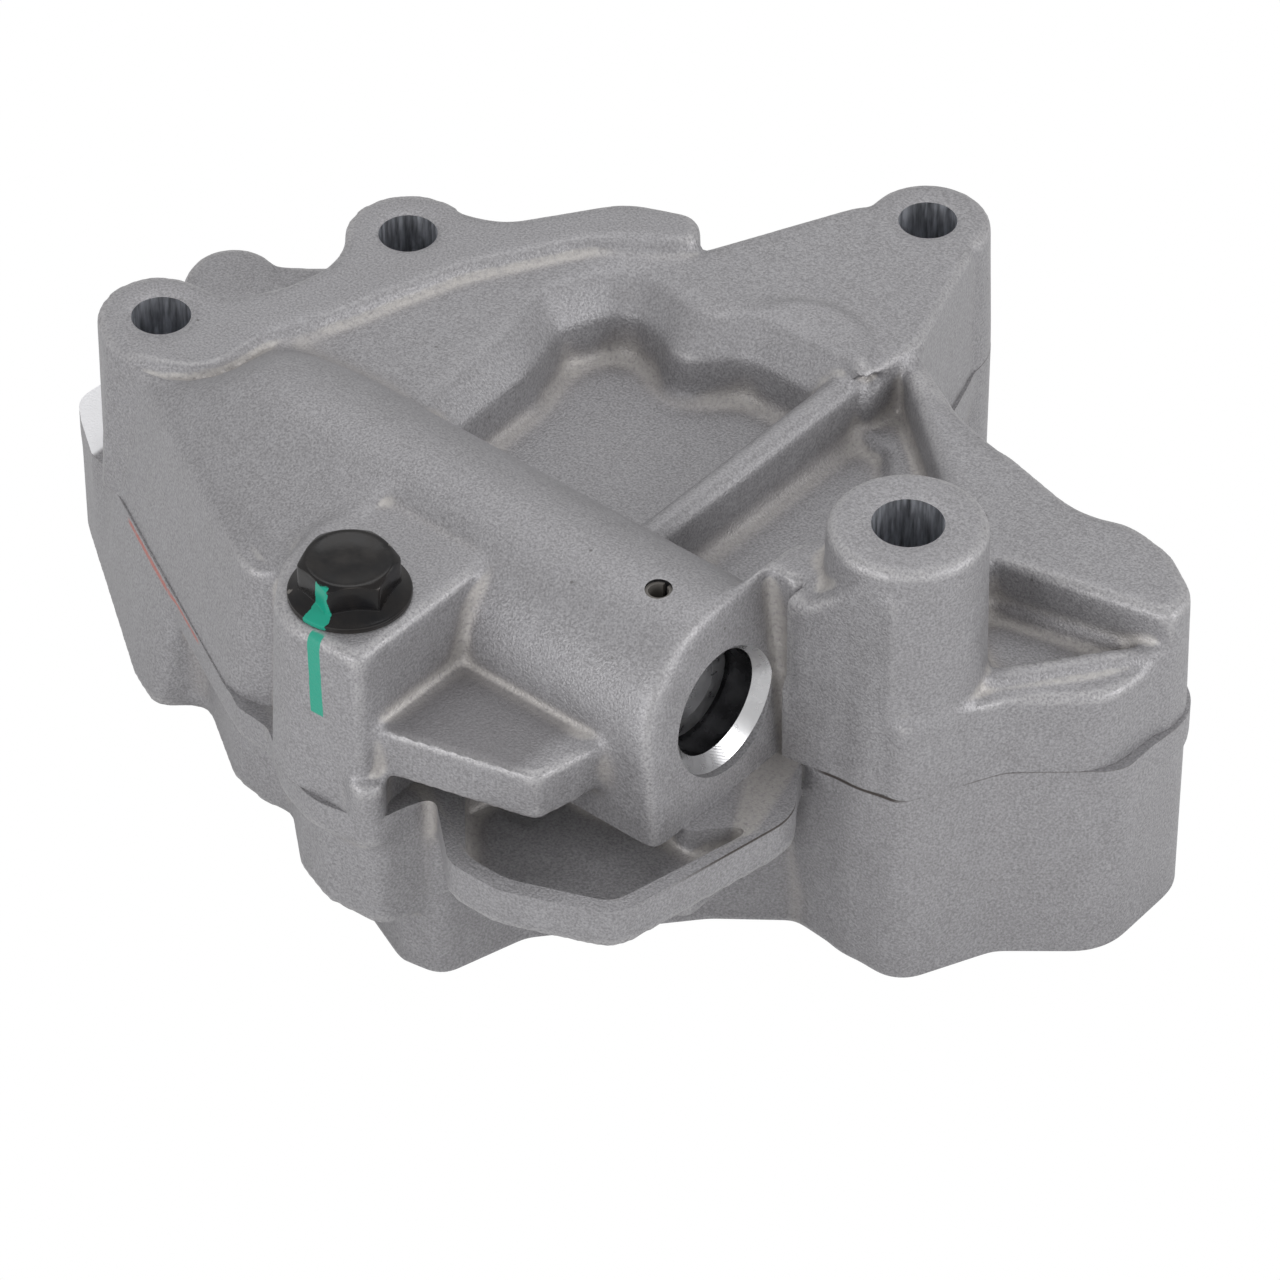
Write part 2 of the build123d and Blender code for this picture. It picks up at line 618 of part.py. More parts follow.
def bush(axis, inner_radius, outer_radius, low, high):
    """Plain bearing bush."""
    return bore(axis, outer_radius, low, high) - bore(axis, inner_radius, low - 1, high + 1)


# Relief valve

spill_channel = [
    (valve_seat_x + spill_lap, -49.5, 1), (34.0, -49.5, 1), (37.0, -54.0, 1), (42.0, -54.0, 1),
    (42.0, -43.5, 1), (valve_seat_x + spill_lap, -43.5, 1),
]


def make_piston():
    """Cup-shaped relief piston, its head on the seat."""
    radius = valve_bore_radius - piston_clearance
    cup = along_x(valve_y, valve_z, radius, valve_seat_x, valve_seat_x + piston_length)
    cup = chamfer(cup.faces().sort_by(Axis.X)[0].edges(), 0.5)
    hollow_start = valve_seat_x + piston_head
    hollow_end = valve_seat_x + piston_length + 1
    return cup - along_x(valve_y, valve_z, radius - piston_wall, hollow_start, hollow_end)


def make_spring():
    """Relief spring between the piston's head and the shim."""
    start = valve_seat_x + piston_head
    length = plug_x - shim_thickness - start
    cup_radius = valve_bore_radius - piston_clearance - piston_wall
    coil_radius = cup_radius - spring_gap - spring_wire_radius
    run = length - 2 * spring_wire_radius
    path = Helix(run / spring_coils, run, coil_radius)
    wire = Plane(path @ 0, z_dir=path % 0) * RegularPolygon(spring_wire_radius, spring_wire_sides)
    coil = sweep(wire, path=path, is_frenet=True)
    return Pos(start + spring_wire_radius, valve_y, valve_z) * Rot(0, 90, 0) * coil


def make_shim():
    """Washer that sets the spring's load."""
    radius = valve_bore_radius - plug_clearance
    washer = along_x(valve_y, valve_z, radius, plug_x - shim_thickness, plug_x)
    return washer - along_x(valve_y, valve_z, shim_hole_radius, plug_x - 5, plug_x + 1)


def make_plug():
    """Plug that closes the relief bore, held by the pin through it."""
    radius = valve_bore_radius - plug_clearance
    end = plug_x + plug_length
    plug = along_x(valve_y, valve_z, radius, plug_x, end)
    plug = chamfer(plug.faces().sort_by(Axis.X)[-1].edges(), 0.6)
    plug -= along_x(valve_y, valve_z, plug_recess_radius, end - plug_recess_depth, end + 1)
    pin_hole = roll_pin_radius + roll_pin_play
    plug -= bore(roll_pin_position, pin_hole, valve_z - 20, valve_z + 20)
    return plug


def make_roll_pin():
    """Slotted spring pin down through the barrel and the plug."""
    low = valve_z - roll_pin_foot
    high = valve_z + barrel_radius - roll_pin_sink
    pin = bore(roll_pin_position, roll_pin_radius, low, high)
    pin -= bore(roll_pin_position, roll_pin_radius - roll_pin_wall, low - 1, high + 1)
    corner = (Align.CENTER, Align.MIN, Align.MIN)
    slot = Box(roll_pin_slot, 2 * roll_pin_radius, high - low + 2, align=corner)
    return pin - Pos(roll_pin_position[0], roll_pin_position[1], low - 1) * slot


# Fasteners and seals

def make_flange_bolt():
    """Flange bolt that clamps the cover to the body."""
    origin = (0.0, 0.0)
    rim_top = bolt_flange_height
    slope_top = rim_top + bolt_washer_slope
    hexagon = RegularPolygon(bolt_head_width / 2, 6, major_radius=False)
    head = extrude(hexagon, bolt_head_height)
    corner_radius = bolt_head_width / 2 / math.cos(math.pi / 6)
    dome_height = bolt_head_height - rim_top
    dome = Cone(corner_radius + dome_height * 0.9, corner_radius - 1.1, dome_height)
    head &= Pos(0, 0, rim_top + dome_height / 2) * dome + bore(origin, corner_radius, 0, rim_top)
    head += bore(origin, bolt_flange_radius, 0, rim_top)
    slope = Cone(bolt_flange_radius - 0.3, bolt_head_width / 2, bolt_washer_slope)
    head += Pos(0, 0, (rim_top + slope_top) / 2) * slope
    dish = bolt_head_height - bolt_dish_depth
    head -= bore(origin, bolt_dish_radius, dish, bolt_head_height + 1)
    head += bore(origin, bolt_radius, -bolt_length, 0)
    return Pos(bolt_position[0], bolt_position[1], pad_z) * Rot(0, 0, bolt_turn) * head


def make_screws():
    """Socket screws from the underside up into the cover."""
    screws = []
    for position in screw_positions:
        low = screw_head_seat - screw_head_height
        screw = bore(position, screw_head_radius, low, screw_head_seat)
        screw += bore(position, screw_radius, screw_head_seat, split_height + screw_engagement)
        key = extrude(RegularPolygon(screw_key_width / 2, 6, major_radius=False), screw_key_depth)
        screws.append(screw - Pos(position[0], position[1], low) * key)
    return Compound(children=screws)


def make_dowels():
    """Hollow dowels between the two castings."""
    low = split_height - dowel_length / 2
    high = split_height + dowel_length / 2
    inner = dowel_radius - dowel_wall
    return Compound(children=[bush(spot, inner, dowel_radius, low, high) for spot in dowel_positions])


def make_port_ring(position, port_radius):
    """Sealing ring, squeezed flush with the mounting face."""
    inner = port_radius + ring_stand_off + ring_side_gap
    outer = inner + 2 * ring_wire_radius + ring_squeeze - 2 * ring_side_gap
    thickness = 2 * ring_wire_radius - ring_squeeze
    ring = bush(position, inner, outer, 0, thickness)
    return chamfer(ring.faces().sort_by(Axis.Z)[0].edges(), ring_wire_radius / 2)


save(make_cover(), "pump_cover")
save(make_body(), "pump_body")
save(spur_gear((0.0, 0.0), 0.0, shaft_radius + fitted_clearance) - key_block(2 * fitted_clearance, 0.2),
     "drive_gear")
save(make_drive_shaft(), "drive_shaft")
save(key_block(0.0, 0.0), "drive_gear_key")
save(make_circlip(), "drive_shaft_circlip")
save(bush((0.0, 0.0), shaft_radius + running_clearance, bush_radius, split_height,
          split_height + bush_length), "cover_bush")
save(bush((0.0, 0.0), shaft_radius + running_clearance, bush_radius, chamber_floor - bush_length,
          chamber_floor), "body_bush")
idler_bush_radius = idler_shaft_radius + bush_wall
half_pitch = 180.0 / gear_teeth
save(spur_gear(idler_axis, half_pitch, idler_bush_radius), "idler_gear")
save(bush(idler_axis, idler_shaft_radius + running_clearance, idler_bush_radius, gear_bottom,
          gear_bottom + gear_width), "idler_gear_bush")
save(bore(idler_axis, idler_shaft_radius, idler_shaft_foot, split_height + bush_length), "idler_shaft")
save(make_piston(), "relief_piston")
save(make_spring(), "relief_spring")
save(make_shim(), "relief_shim")
save(make_plug(), "relief_plug")
save(make_roll_pin(), "relief_roll_pin")
save(make_flange_bolt(), "cover_flange_bolt")
save(make_screws(), "underside_cover_screws")
save(make_dowels(), "cover_dowels")
save(make_port_ring(inlet_position, inlet_radius), "inlet_o_ring")
save(make_port_ring(outlet_position, outlet_radius), "outlet_o_ring")
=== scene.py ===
import bpy
import bmesh
import json
import math
import numpy as np
from mathutils import Matrix, Vector
from mathutils.kdtree import KDTree


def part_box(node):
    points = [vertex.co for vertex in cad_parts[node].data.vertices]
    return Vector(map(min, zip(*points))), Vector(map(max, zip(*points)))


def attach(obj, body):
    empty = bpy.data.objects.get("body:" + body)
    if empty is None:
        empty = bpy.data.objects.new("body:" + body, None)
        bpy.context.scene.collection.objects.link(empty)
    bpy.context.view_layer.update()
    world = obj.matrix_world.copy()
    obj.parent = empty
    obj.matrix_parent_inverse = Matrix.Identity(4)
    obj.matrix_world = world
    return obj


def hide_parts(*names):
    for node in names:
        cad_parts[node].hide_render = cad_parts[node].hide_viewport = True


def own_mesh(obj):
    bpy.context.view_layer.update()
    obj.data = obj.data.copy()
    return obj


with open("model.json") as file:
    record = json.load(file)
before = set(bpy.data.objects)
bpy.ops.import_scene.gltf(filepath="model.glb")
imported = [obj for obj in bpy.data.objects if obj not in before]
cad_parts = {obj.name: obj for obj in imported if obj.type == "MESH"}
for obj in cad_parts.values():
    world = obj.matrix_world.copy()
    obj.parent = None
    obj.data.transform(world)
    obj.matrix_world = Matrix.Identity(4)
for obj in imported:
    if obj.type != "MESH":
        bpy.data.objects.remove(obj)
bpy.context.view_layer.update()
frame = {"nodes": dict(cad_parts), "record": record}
nodes = frame["nodes"]
MM = 0.001

# Lengths are in millimetres, unless a comment says otherwise

# Places and sizes of the model. Holes and ports are x, y and radius
SPLIT = 34.0
HOLES = {"a": (-52.3, -28.0, 4.5), "b": (-37.3, 10.7, 4.5), "c": (19.6, 65.8, 4.5), "d": (74.0, -8.5, 5.25)}
INLET, OUTLET = (18.0, 37.0, 9.0), (12.0, -32.0, 6.5)
INLET_CHAMBER, OUTLET_CHAMBER = ((9.5, 10.0), (26.5, 43.0)), ((5.0, -35.0), (21.0, -10.0))
GROOVE_IN, GROOVE_OUT, GROOVE_DEPTH = 2.2, 5.0, 2.0
DRIVE_AXIS, IDLER_AXIS = (0.0, 0.0), (36.0, 0.0)
DRIVE_BORE_R, IDLER_BORE_R, COVER_BORE_TOP = 9.5, 7.5, 43.5
DRIVE_END_R, DRIVE_END_TOP, IDLER_BORE_FLOOR = 12.5, 4.94, 3.0
CHAMBER_R, CHAMBER_FLOOR = 21.15, 13.94
VALVE_Y, VALVE_Z, VALVE_R = -32.3, 48.5, 8.5
VALVE_START, VALVE_SEAT, VALVE_SEAT_R, VALVE_TRAVEL = 0.0, 12.0, 7.0, 6.0
MOUTH_X, MOUTH_FOOT_X, MOUTH_CHAMFER = 60.5, 62.3, 2.0
PIN, PIN_R, PIN_DEPTH = (49.2, -33.6), 2.0, 11.0
BOLT, PAD_Z, BOLT_HOLE_R, BOLT_THREAD_R, BOLT_HOLE_FLOOR = (14.4, -60.2), 63.0, 4.5, 4.0, 16.0
SCREWS = [(-25.0, 17.5), (-32.0, -30.0), (60.0, 18.0), (90.0, 12.0)]
SCREW_R, SCREW_TOP, SCREW_HOLE_R, SCREW_HEAD_R, SCREW_HEAD_TOP = 3.0, 44.0, 3.5, 5.5, 18.0
DOWELS, DOWEL_R, DOWEL_FLOOR, DOWEL_TOP = [(-20.0, -38.0), (64.0, 8.0)], 4.0, 29.0, 39.0

# Softening of the castings. A flat face is moved out by STRETCH before it and is cut back sharp after it,
# and openings are closed meanwhile by plugs that are wider by PLUG
VOXEL = 0.65
PASSES = 10
STRETCH, PLUG = 4.0, 0.3
COVER_PLUG_TOPS = {"a": 59.0, "b": 59.0, "c": 57.5, "d": 74.5}
PLUG_LOW, PLUG_LOW_RAISED, PLUG_HIGH = -3.0, 13.0, SPLIT + 2.0
# Body plugs as x, y, low, high and radius: gear chambers, ports with their grooves, drive end, ways from
# the ports to the gears, flange bolt
BODY_PLUGS = [
    (0.0, 0.0, 2.0, PLUG_HIGH, CHAMBER_R + PLUG), (36.0, 0.0, 2.0, PLUG_HIGH, CHAMBER_R + PLUG),
    (18.0, 37.0, PLUG_LOW, PLUG_HIGH, 14.6), (12.0, -32.0, PLUG_LOW, PLUG_HIGH, 12.0),
    (0.0, 0.0, PLUG_LOW, 10.0, 13.0),
    (18.0, 22.0, 10.0, PLUG_HIGH, 11.0), (16.0, -20.0, 10.0, PLUG_HIGH, 9.0),
    (15.0, -60.2, 5.0, PLUG_HIGH, 4.4),
]
# Boxes that are smoothed further, as low corner, high corner and soft border
SOFT_ZONES = [
    ((-60.0, -60.0, 50.0), (2.0, -12.0, 70.0), 8.0),
    ((50.0, -54.0, 30.0), (66.0, -22.0, 72.0), 4.0),
    ((-14.0, -16.0, 53.0), (29.0, 36.0, 62.0), 3.0),
    ((37.0, -2.0, 50.0), (62.0, 36.0, 60.0), 3.0),
    ((2.0, -48.0, 36.0), (30.0, -38.0, 60.0), 3.0),
]
# Cutters reach past the castings
FAR, COVER_UNDER, COVER_OVER, BODY_UNDER, BODY_OVER = 150, 20.0, 90.0, -5.0, 50.0

# Left wall of both castings: a slanted line from WALL_START, leaning in by WALL_LEAN
WALL_START, WALL_END_X, WALL_TOP = (-57.5, -35.0), -4.0, 58.0
WALL_NORMAL, WALL_LEAN, WALL_DEPTH = (-0.4765, -0.879), 0.0752, 1.0
WALL_PUSH, WALL_FADE = 2.1, 12
LEAN_FOOT, LEAN_CURVE, LEAN_BEFORE, LEAN_FADE = 12.0, 1.4, 3.0, 6.0
# Crease between the barrel's left end and the ear's flat
LEDGE_LINE = [(-50.5, -40.5), (-47.0, -38.6), (-43.0, -37.2), (-39.6, -35.2), (-37.6, -32.8), (-36.6, -30.0),
              (-36.3, -26.5), (-36.2, -23.0), (-35.2, -19.0)]
LEDGE_X, LEDGE_Y, LEDGE_DEPTH = (-56.0, -24.0), (-46.0, -16.0), 3.0
LEDGE_TOP, LEDGE_FLOOR, LEDGE_STEP, LEDGE_REACH = 60.0, 58.5, 1.3, 10.0
LEDGE_FADE, LEDGE_END = 8, 0.3
# Right wall of the body, which follows the cover's edge at the joint
MATCH_FROM, MATCH_TO_Y, MATCH_FOOT, MATCH_REACH = (62.0, -26.0), 8.0, 6.0, 2.6
MATCH_SLICE, MATCH_NEAREST, MATCH_PASSES = 0.4, 4, 6
MATCH_FADE_X, MATCH_FADE_LOW_Y, MATCH_FADE_HIGH_Y = 6.0, 4.0, 6.0
# Front of the tall boss: two flats (angle in degrees from -Y, distance) and the crease between them
BOSS_FLATS, BOSS_CREASE = [(9.8, 11.8), (51.9, 11.6)], 29.6
BOSS_TOP, BOSS_FROM_X, BOSS_INNER, BOSS_PUSH, BOSS_PASSES = 71.5, 62.8, 9.5, 4, 3
BOSS_LEFT_DROP, BOSS_LEFT_FADE, BOSS_LEFT_END, BOSS_TURN_LIMIT = 6.0, 0.6, -0.9, 1.2
BOSS_FACING, BOSS_FACING_FADE, BOSS_TOP_FADE, BOSS_X_FADE = 0.1, 0.4, 2.0, 1.5
# Low curved step on the deck
STEP_CENTRE, STEP_RADIUS, STEP_X, STEP_Y = (24.0, 28.5), 12.0, (5.0, 40.0), (24.0, 44.0)
STEP_LOW, STEP_RISE, STEP_EDGE, STEP_FADE = 57.0, 0.7, 1.5, 7.0

# Marks of edges and hollows: smoothing passes, and how far a vertex stands out where the mark is full
NEAR_PASSES, WIDE_PASSES = ((8, 60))
NEAR_FULL, WIDE_FULL, MARK_PASSES = 0.16, 0.7, 2

# Flange bolt, above its pad. Profiles are radius and height, or radius and drop from the head's top
BOLT_TURN, HEAD_FLAT, HEAD_TOP = -13.5, 6.5, 6.5
CORNER_SHARP, CORNER_CUT = 14.0, 0.12
HEAD_PROFILE = [(0.8, -0.3), (2.2, -0.29), (3.6, -0.25), (4.5, -0.16), (5.2, -0.05), (5.7, 0.0), (6.15, 0.0),
                (6.32, -0.04)]
BEVEL_R, BEVEL_START, BEVEL_SLOPE, BEVEL_CURL, BEVEL_INSET = 6.4, 0.08, 0.58, 0.1, 0.03
CONE_R, CONE_FOOT, CONE_TOP, CONE_CURVE = 8.75, 0.95, 2.2, 1.15
SHANK_PROFILE = [(8.8, 0.93), (8.9, 0.84), (8.95, 0.7), (8.95, 0.15), (8.9, 0.03), (8.8, 0.0), (4.3, 0.0),
                 (4.02, -0.25), (4.0, -43.8), (3.2, -45.0)]
# Relief spring: wire radius, turns, closed turns at each end, and the share of the length that those take
SPRING_WIRE, SPRING_TURNS, SPRING_CLOSED, SPRING_DEAD = 0.9, 7, 1.0, 0.075

# Stage, in metres, degrees and watts. Lights are name, place, size and power
FLOOR_HALF, FLOOR_Z, FLOOR_CLEAR = 3.0, -0.0002, 0.001
WORLD_STRENGTH = 0.66
LIGHT_TARGET = (0.0, 0.0, 0.03)
LIGHTS = [
    ("overhead", (-0.2, 0.3, 0.9), (0.6, 0.6), 1.8),
    ("front", (0.0, -1.0, 0.35), (0.7, 0.5), 4.4),
    ("right", (0.95, 0.25, 0.45), (0.5, 0.5), 4.5),
]
CAMERA_AZIMUTH, CAMERA_ELEVATION, CAMERA_DISTANCE = 40, 41, 1.029
CAMERA_TARGET = (0.031, -0.016, 0.034)
FOCAL_PIXELS, PHOTO_PIXELS, SENSOR_WIDTH = 7000, 1280, 36.0

PAINT = (0.012, 0.29, 0.2)
CAST, MACHINED, BORE, DRILLED = range(4)


# Geometry helpers

def add_object(name, mesh):
    obj = bpy.data.objects.new(name, mesh)
    bpy.context.scene.collection.objects.link(obj)
    return obj


def cone_mesh(radius_low, radius_high, length):
    """Closed cone or cylinder along Z, from 0 to its length."""
    mesh = bpy.data.meshes.new("tool")
    bm = bmesh.new()
    bmesh.ops.create_cone(bm, cap_ends=True, segments=96, radius1=radius_low * MM,
                          radius2=radius_high * MM, depth=length * MM)
    bmesh.ops.translate(bm, verts=bm.verts, vec=(0, 0, length * MM / 2))
    bm.to_mesh(mesh)
    bm.free()
    return mesh


def drill(x, y, low, high, radius):
    """Upright cylinder."""
    mesh = cone_mesh(radius, radius, high - low)
    mesh.transform(Matrix.Translation((x * MM, y * MM, low * MM)))
    return mesh


def drill_x(start, end, radius, radius_end=None):
    """Cylinder or cone on the relief valve's axis."""
    mesh = cone_mesh(radius, radius if radius_end is None else radius_end, end - start)
    mesh.transform(Matrix.Rotation(math.radians(90), 4, "Y"))
    mesh.transform(Matrix.Translation((start * MM, VALVE_Y * MM, VALVE_Z * MM)))
    return mesh


def block(low, high):
    """Box between two corners."""
    mesh = bpy.data.meshes.new("tool")
    bm = bmesh.new()
    bmesh.ops.create_cube(bm, size=1.0)
    size = [(high[i] - low[i]) * MM for i in range(3)]
    middle = [(high[i] + low[i]) * MM / 2 for i in range(3)]
    bmesh.ops.scale(bm, verts=bm.verts, vec=size)
    bmesh.ops.translate(bm, verts=bm.verts, vec=middle)
    bm.to_mesh(mesh)
    bm.free()
    return mesh


def skin(name, rings):
    """Closed mesh over rings of as many points each, in metres."""
    mesh = bpy.data.meshes.new(name)
    bm = bmesh.new()
    rows = [[bm.verts.new(point) for point in ring] for ring in rings]
    for upper, lower in zip(rows, rows[1:]):
        for i in range(len(upper)):
            j = (i + 1) % len(upper)
            bm.faces.new((upper[i], lower[i], lower[j], upper[j]))
    bm.faces.new(rows[0])
    bm.faces.new(list(reversed(rows[-1])))
    bmesh.ops.recalc_face_normals(bm, faces=bm.faces)
    bm.to_mesh(mesh)
    bm.free()
    return mesh


def joined(meshes):
    """Several closed meshes as one."""
    mesh = bpy.data.meshes.new("joined")
    bm = bmesh.new()
    for part in meshes:
        bm.from_mesh(part)
    bm.to_mesh(mesh)
    bm.free()
    return mesh


def apply_modifiers(obj):
    depsgraph = bpy.context.evaluated_depsgraph_get()
    depsgraph.update()
    mesh = bpy.data.meshes.new_from_object(obj.evaluated_get(depsgraph))
    obj.modifiers.clear()
    obj.data = mesh


def cut(obj, tool_mesh):
    tool = add_object("tool", tool_mesh)
    modifier = obj.modifiers.new("cut", "BOOLEAN")
    modifier.operation = "DIFFERENCE"
    modifier.solver = "MANIFOLD"
    modifier.object = tool
    apply_modifiers(obj)
    bpy.data.objects.remove(tool)


def shade(obj, angle):
    """Smooth shading, with sharp edges above an angle in degrees."""
    for polygon in obj.data.polygons:
        polygon.use_smooth = True
    obj.data.set_sharp_from_angle(angle=math.radians(angle))


def share_between(value):
    return min(1.0, max(0.0, value))


# Castings: from the mould's soft shape to the machined one

def cast_copy(name, node, stretched_planes, plugs):
    """The casting as it comes from the mould: soft edges, before any machining."""
    source = nodes[node].data.copy()
    for height, moved in stretched_planes:
        for vertex in source.vertices:
            if abs(vertex.co.z - height * MM) < 1e-5:
                vertex.co.z = moved * MM
    obj = add_object(name, joined([source] + plugs))
    remesh = obj.modifiers.new("remesh", "REMESH")
    remesh.mode = "VOXEL"
    remesh.voxel_size = VOXEL * MM
    smooth = obj.modifiers.new("smooth", "SMOOTH")
    smooth.factor = 0.5
    smooth.iterations = PASSES
    apply_modifiers(obj)
    return obj


def soften(obj, zones, passes):
    """Extra smoothing inside boxes, each with a soft border."""
    group = obj.vertex_groups.new(name="soft")
    for vertex in obj.data.vertices:
        place = vertex.co / MM
        weight = 0.0
        for low, high, border in zones:
            inside = min(min(place[i] - low[i], high[i] - place[i]) for i in range(3))
            weight = max(weight, min(1.0, inside / border))
        if weight > 0:
            group.add([vertex.index], weight, "REPLACE")
    smooth = obj.modifiers.new("soften", "SMOOTH")
    smooth.factor = 0.5
    smooth.iterations = passes
    smooth.vertex_group = group.name
    apply_modifiers(obj)
    obj.vertex_groups.clear()


def read_mesh(mesh):
    """Vertex places, their normals, the edges and each vertex's number of edges, as arrays."""
    places = np.empty(len(mesh.vertices) * 3)
    mesh.vertices.foreach_get("co", places)
    normals = np.empty(len(mesh.vertices) * 3)
    mesh.vertices.foreach_get("normal", normals)
    edges = np.empty(len(mesh.edges) * 2, dtype=np.int64)
    mesh.edges.foreach_get("vertices", edges)
    counts = np.maximum(np.bincount(edges, minlength=len(mesh.vertices)), 1).astype(float)
    return places.reshape(-1, 3) / MM, normals.reshape(-1, 3), edges.reshape(-1, 2), counts


def spread(values, edges, counts):
    """Mean of each vertex's neighbours."""
    total = np.zeros_like(values)
    for axis in range(values.shape[1]):
        for here, there in ((0, 1), (1, 0)):
            total[:, axis] += np.bincount(edges[:, here], weights=values[edges[:, there], axis],
                                          minlength=len(values))
    return total / counts[:, None]


def surface_marks(mesh):
    """How far each vertex stands out of its surroundings, near and wide."""
    places, normals, edges, counts = read_mesh(mesh)
    marks = []
    smoothed = places.copy()
    done = 0
    for passes, full in ((NEAR_PASSES, NEAR_FULL), (WIDE_PASSES, WIDE_FULL)):
        while done < passes:
            smoothed = (smoothed + spread(smoothed, edges, counts)) / 2
            done += 1
        stand_out = np.einsum("ij,ij->i", places - smoothed, normals)[:, None]
        for _ in range(MARK_PASSES):
            stand_out = spread(stand_out, edges, counts)
        marks.append(np.clip(stand_out[:, 0] / full, -1, 1))
    tree = KDTree(len(places))
    for index, place in enumerate(places):
        tree.insert(place, index)
    tree.balance()
    return tree, marks


def write_marks(mesh, tree, marks):
    """Carry the marks over to the machined mesh."""
    found = [tree.find(vertex.co / MM)[1] for vertex in mesh.vertices]
    for name, values in zip(("ridge", "bowl"), marks):
        attribute = mesh.attributes.new(name, "FLOAT", "POINT")
        attribute.data.foreach_set("value", values[found].astype(np.float32))


def shift(vertex, x, y):
    vertex.co.x += x * MM
    vertex.co.y += y * MM


def apply_moves(obj, moves, edges, counts, passes):
    """Shift vertices sideways, the shifts smoothed first."""
    for _ in range(passes):
        moves = (moves + spread(moves, edges, counts)) / 2
    for vertex, (x, y) in zip(obj.data.vertices, moves):
        shift(vertex, x, y)


def off_wall(x, y):
    """Distance outwards from the left wall's line, and the share of the way along it."""
    out = (x - WALL_START[0]) * WALL_NORMAL[0] + (y - WALL_START[1]) * WALL_NORMAL[1]
    return out, (x - WALL_START[0]) / (WALL_END_X - WALL_START[0])


def wall_push(along):
    return (WALL_PUSH - along) * min(1.0, WALL_FADE * along, WALL_FADE * (1 - along))


def push_wall(obj):
    """Bring the foot of the cover's left wall out to the body's edge."""
    for vertex in obj.data.vertices:
        x, y, z = vertex.co / MM
        if not (WALL_START[0] < x < WALL_END_X and z < WALL_TOP):
            continue
        up = max(0.0, z - SPLIT)
        out, along = off_wall(x, y)
        if out < -WALL_LEAN * up - WALL_DEPTH:
            continue
        push = wall_push(along) * (1 - up / (WALL_TOP - SPLIT))
        shift(vertex, push * WALL_NORMAL[0], push * WALL_NORMAL[1])


def flush_body(obj):
    """Draw the body's left wall in to the cover's foot at the joint, leaning out below it."""
    for vertex in obj.data.vertices:
        x, y, z = vertex.co / MM
        if not (WALL_START[0] - LEAN_BEFORE < x < WALL_END_X and LEAN_FOOT < z):
            continue
        out, along = off_wall(x, y)
        beyond = out - wall_push(share_between(along))
        if beyond <= 0:
            continue
        pull = beyond * min(1.0, (z - LEAN_FOOT) / (SPLIT - LEAN_FOOT)) ** LEAN_CURVE
        pull *= min(1.0, (x - WALL_START[0] + LEAN_BEFORE) / LEAN_FADE, (WALL_END_X - x) / LEAN_FADE)
        shift(vertex, -pull * WALL_NORMAL[0], -pull * WALL_NORMAL[1])


def match_outline(body_obj, cover_obj):
    """Bring the body's right wall to the cover's edge at the joint, fading out below it."""
    rim = [vertex.co for vertex in cover_obj.data.vertices if abs(vertex.co.z / MM - SPLIT) < MATCH_SLICE]
    edge = KDTree(len(rim))
    for index, place in enumerate(rim):
        edge.insert((place.x / MM, place.y / MM, 0.0), index)
    edge.balance()
    places, _, edges, counts = read_mesh(body_obj.data)
    moves = np.zeros((len(places), 2))
    for index, (x, y, z) in enumerate(places):
        if x < MATCH_FROM[0] or not MATCH_FROM[1] < y < MATCH_TO_Y or z < MATCH_FOOT:
            continue
        found = edge.find_n((x, y, 0.0), MATCH_NEAREST)
        if found[0][2] > MATCH_REACH:
            continue
        weight = min(1.0, (x - MATCH_FROM[0]) / MATCH_FADE_X, (y - MATCH_FROM[1]) / MATCH_FADE_LOW_Y,
                     (MATCH_TO_Y - y) / MATCH_FADE_HIGH_Y, (z - MATCH_FOOT) / (SPLIT - MATCH_FOOT))
        moves[index] = [(sum(item[0][i] for item in found) / MATCH_NEAREST - (x, y)[i]) * weight
                        for i in (0, 1)]
    apply_moves(body_obj, moves, edges, counts, MATCH_PASSES)


def nearest_on_line(x, y, line):
    """Distance to a polyline, its sign (right of it is positive), and the share of the way along."""
    best = None
    for index, (start, end) in enumerate(zip(line, line[1:])):
        dx, dy = end[0] - start[0], end[1] - start[1]
        share = share_between(((x - start[0]) * dx + (y - start[1]) * dy) / (dx * dx + dy * dy))
        away_x, away_y = x - start[0] - share * dx, y - start[1] - share * dy
        distance = math.hypot(away_x, away_y)
        if best is None or distance < best[0]:
            right = dy * away_x - dx * away_y
            best = (distance, 1 if right > 0 else -1, (index + share) / (len(line) - 1))
    return best


def press_ledge(obj):
    """Let the barrel's left end dip under the ear's flat, with a crease between them."""
    for vertex in obj.data.vertices:
        x, y, z = vertex.co / MM
        if z < LEDGE_TOP - LEDGE_DEPTH or not (LEDGE_X[0] < x < LEDGE_X[1] and LEDGE_Y[0] < y < LEDGE_Y[1]):
            continue
        distance, side, share = nearest_on_line(x, y, LEDGE_LINE)
        if side < 0 and distance > LEDGE_STEP:
            vertex.co.z = min(z, LEDGE_TOP) * MM
            continue
        fade = min(1.0, LEDGE_FADE * share, LEDGE_FADE * (1 - share) + LEDGE_END)
        if side < 0:
            level = min(z, LEDGE_TOP)
            weight = 1 - distance / LEDGE_STEP
        else:
            level = z
            weight = max(0.0, 1 - distance / LEDGE_REACH) ** 2
        drop = max(0.0, level - LEDGE_FLOOR) * weight * fade
        vertex.co.z = (level - drop) * MM


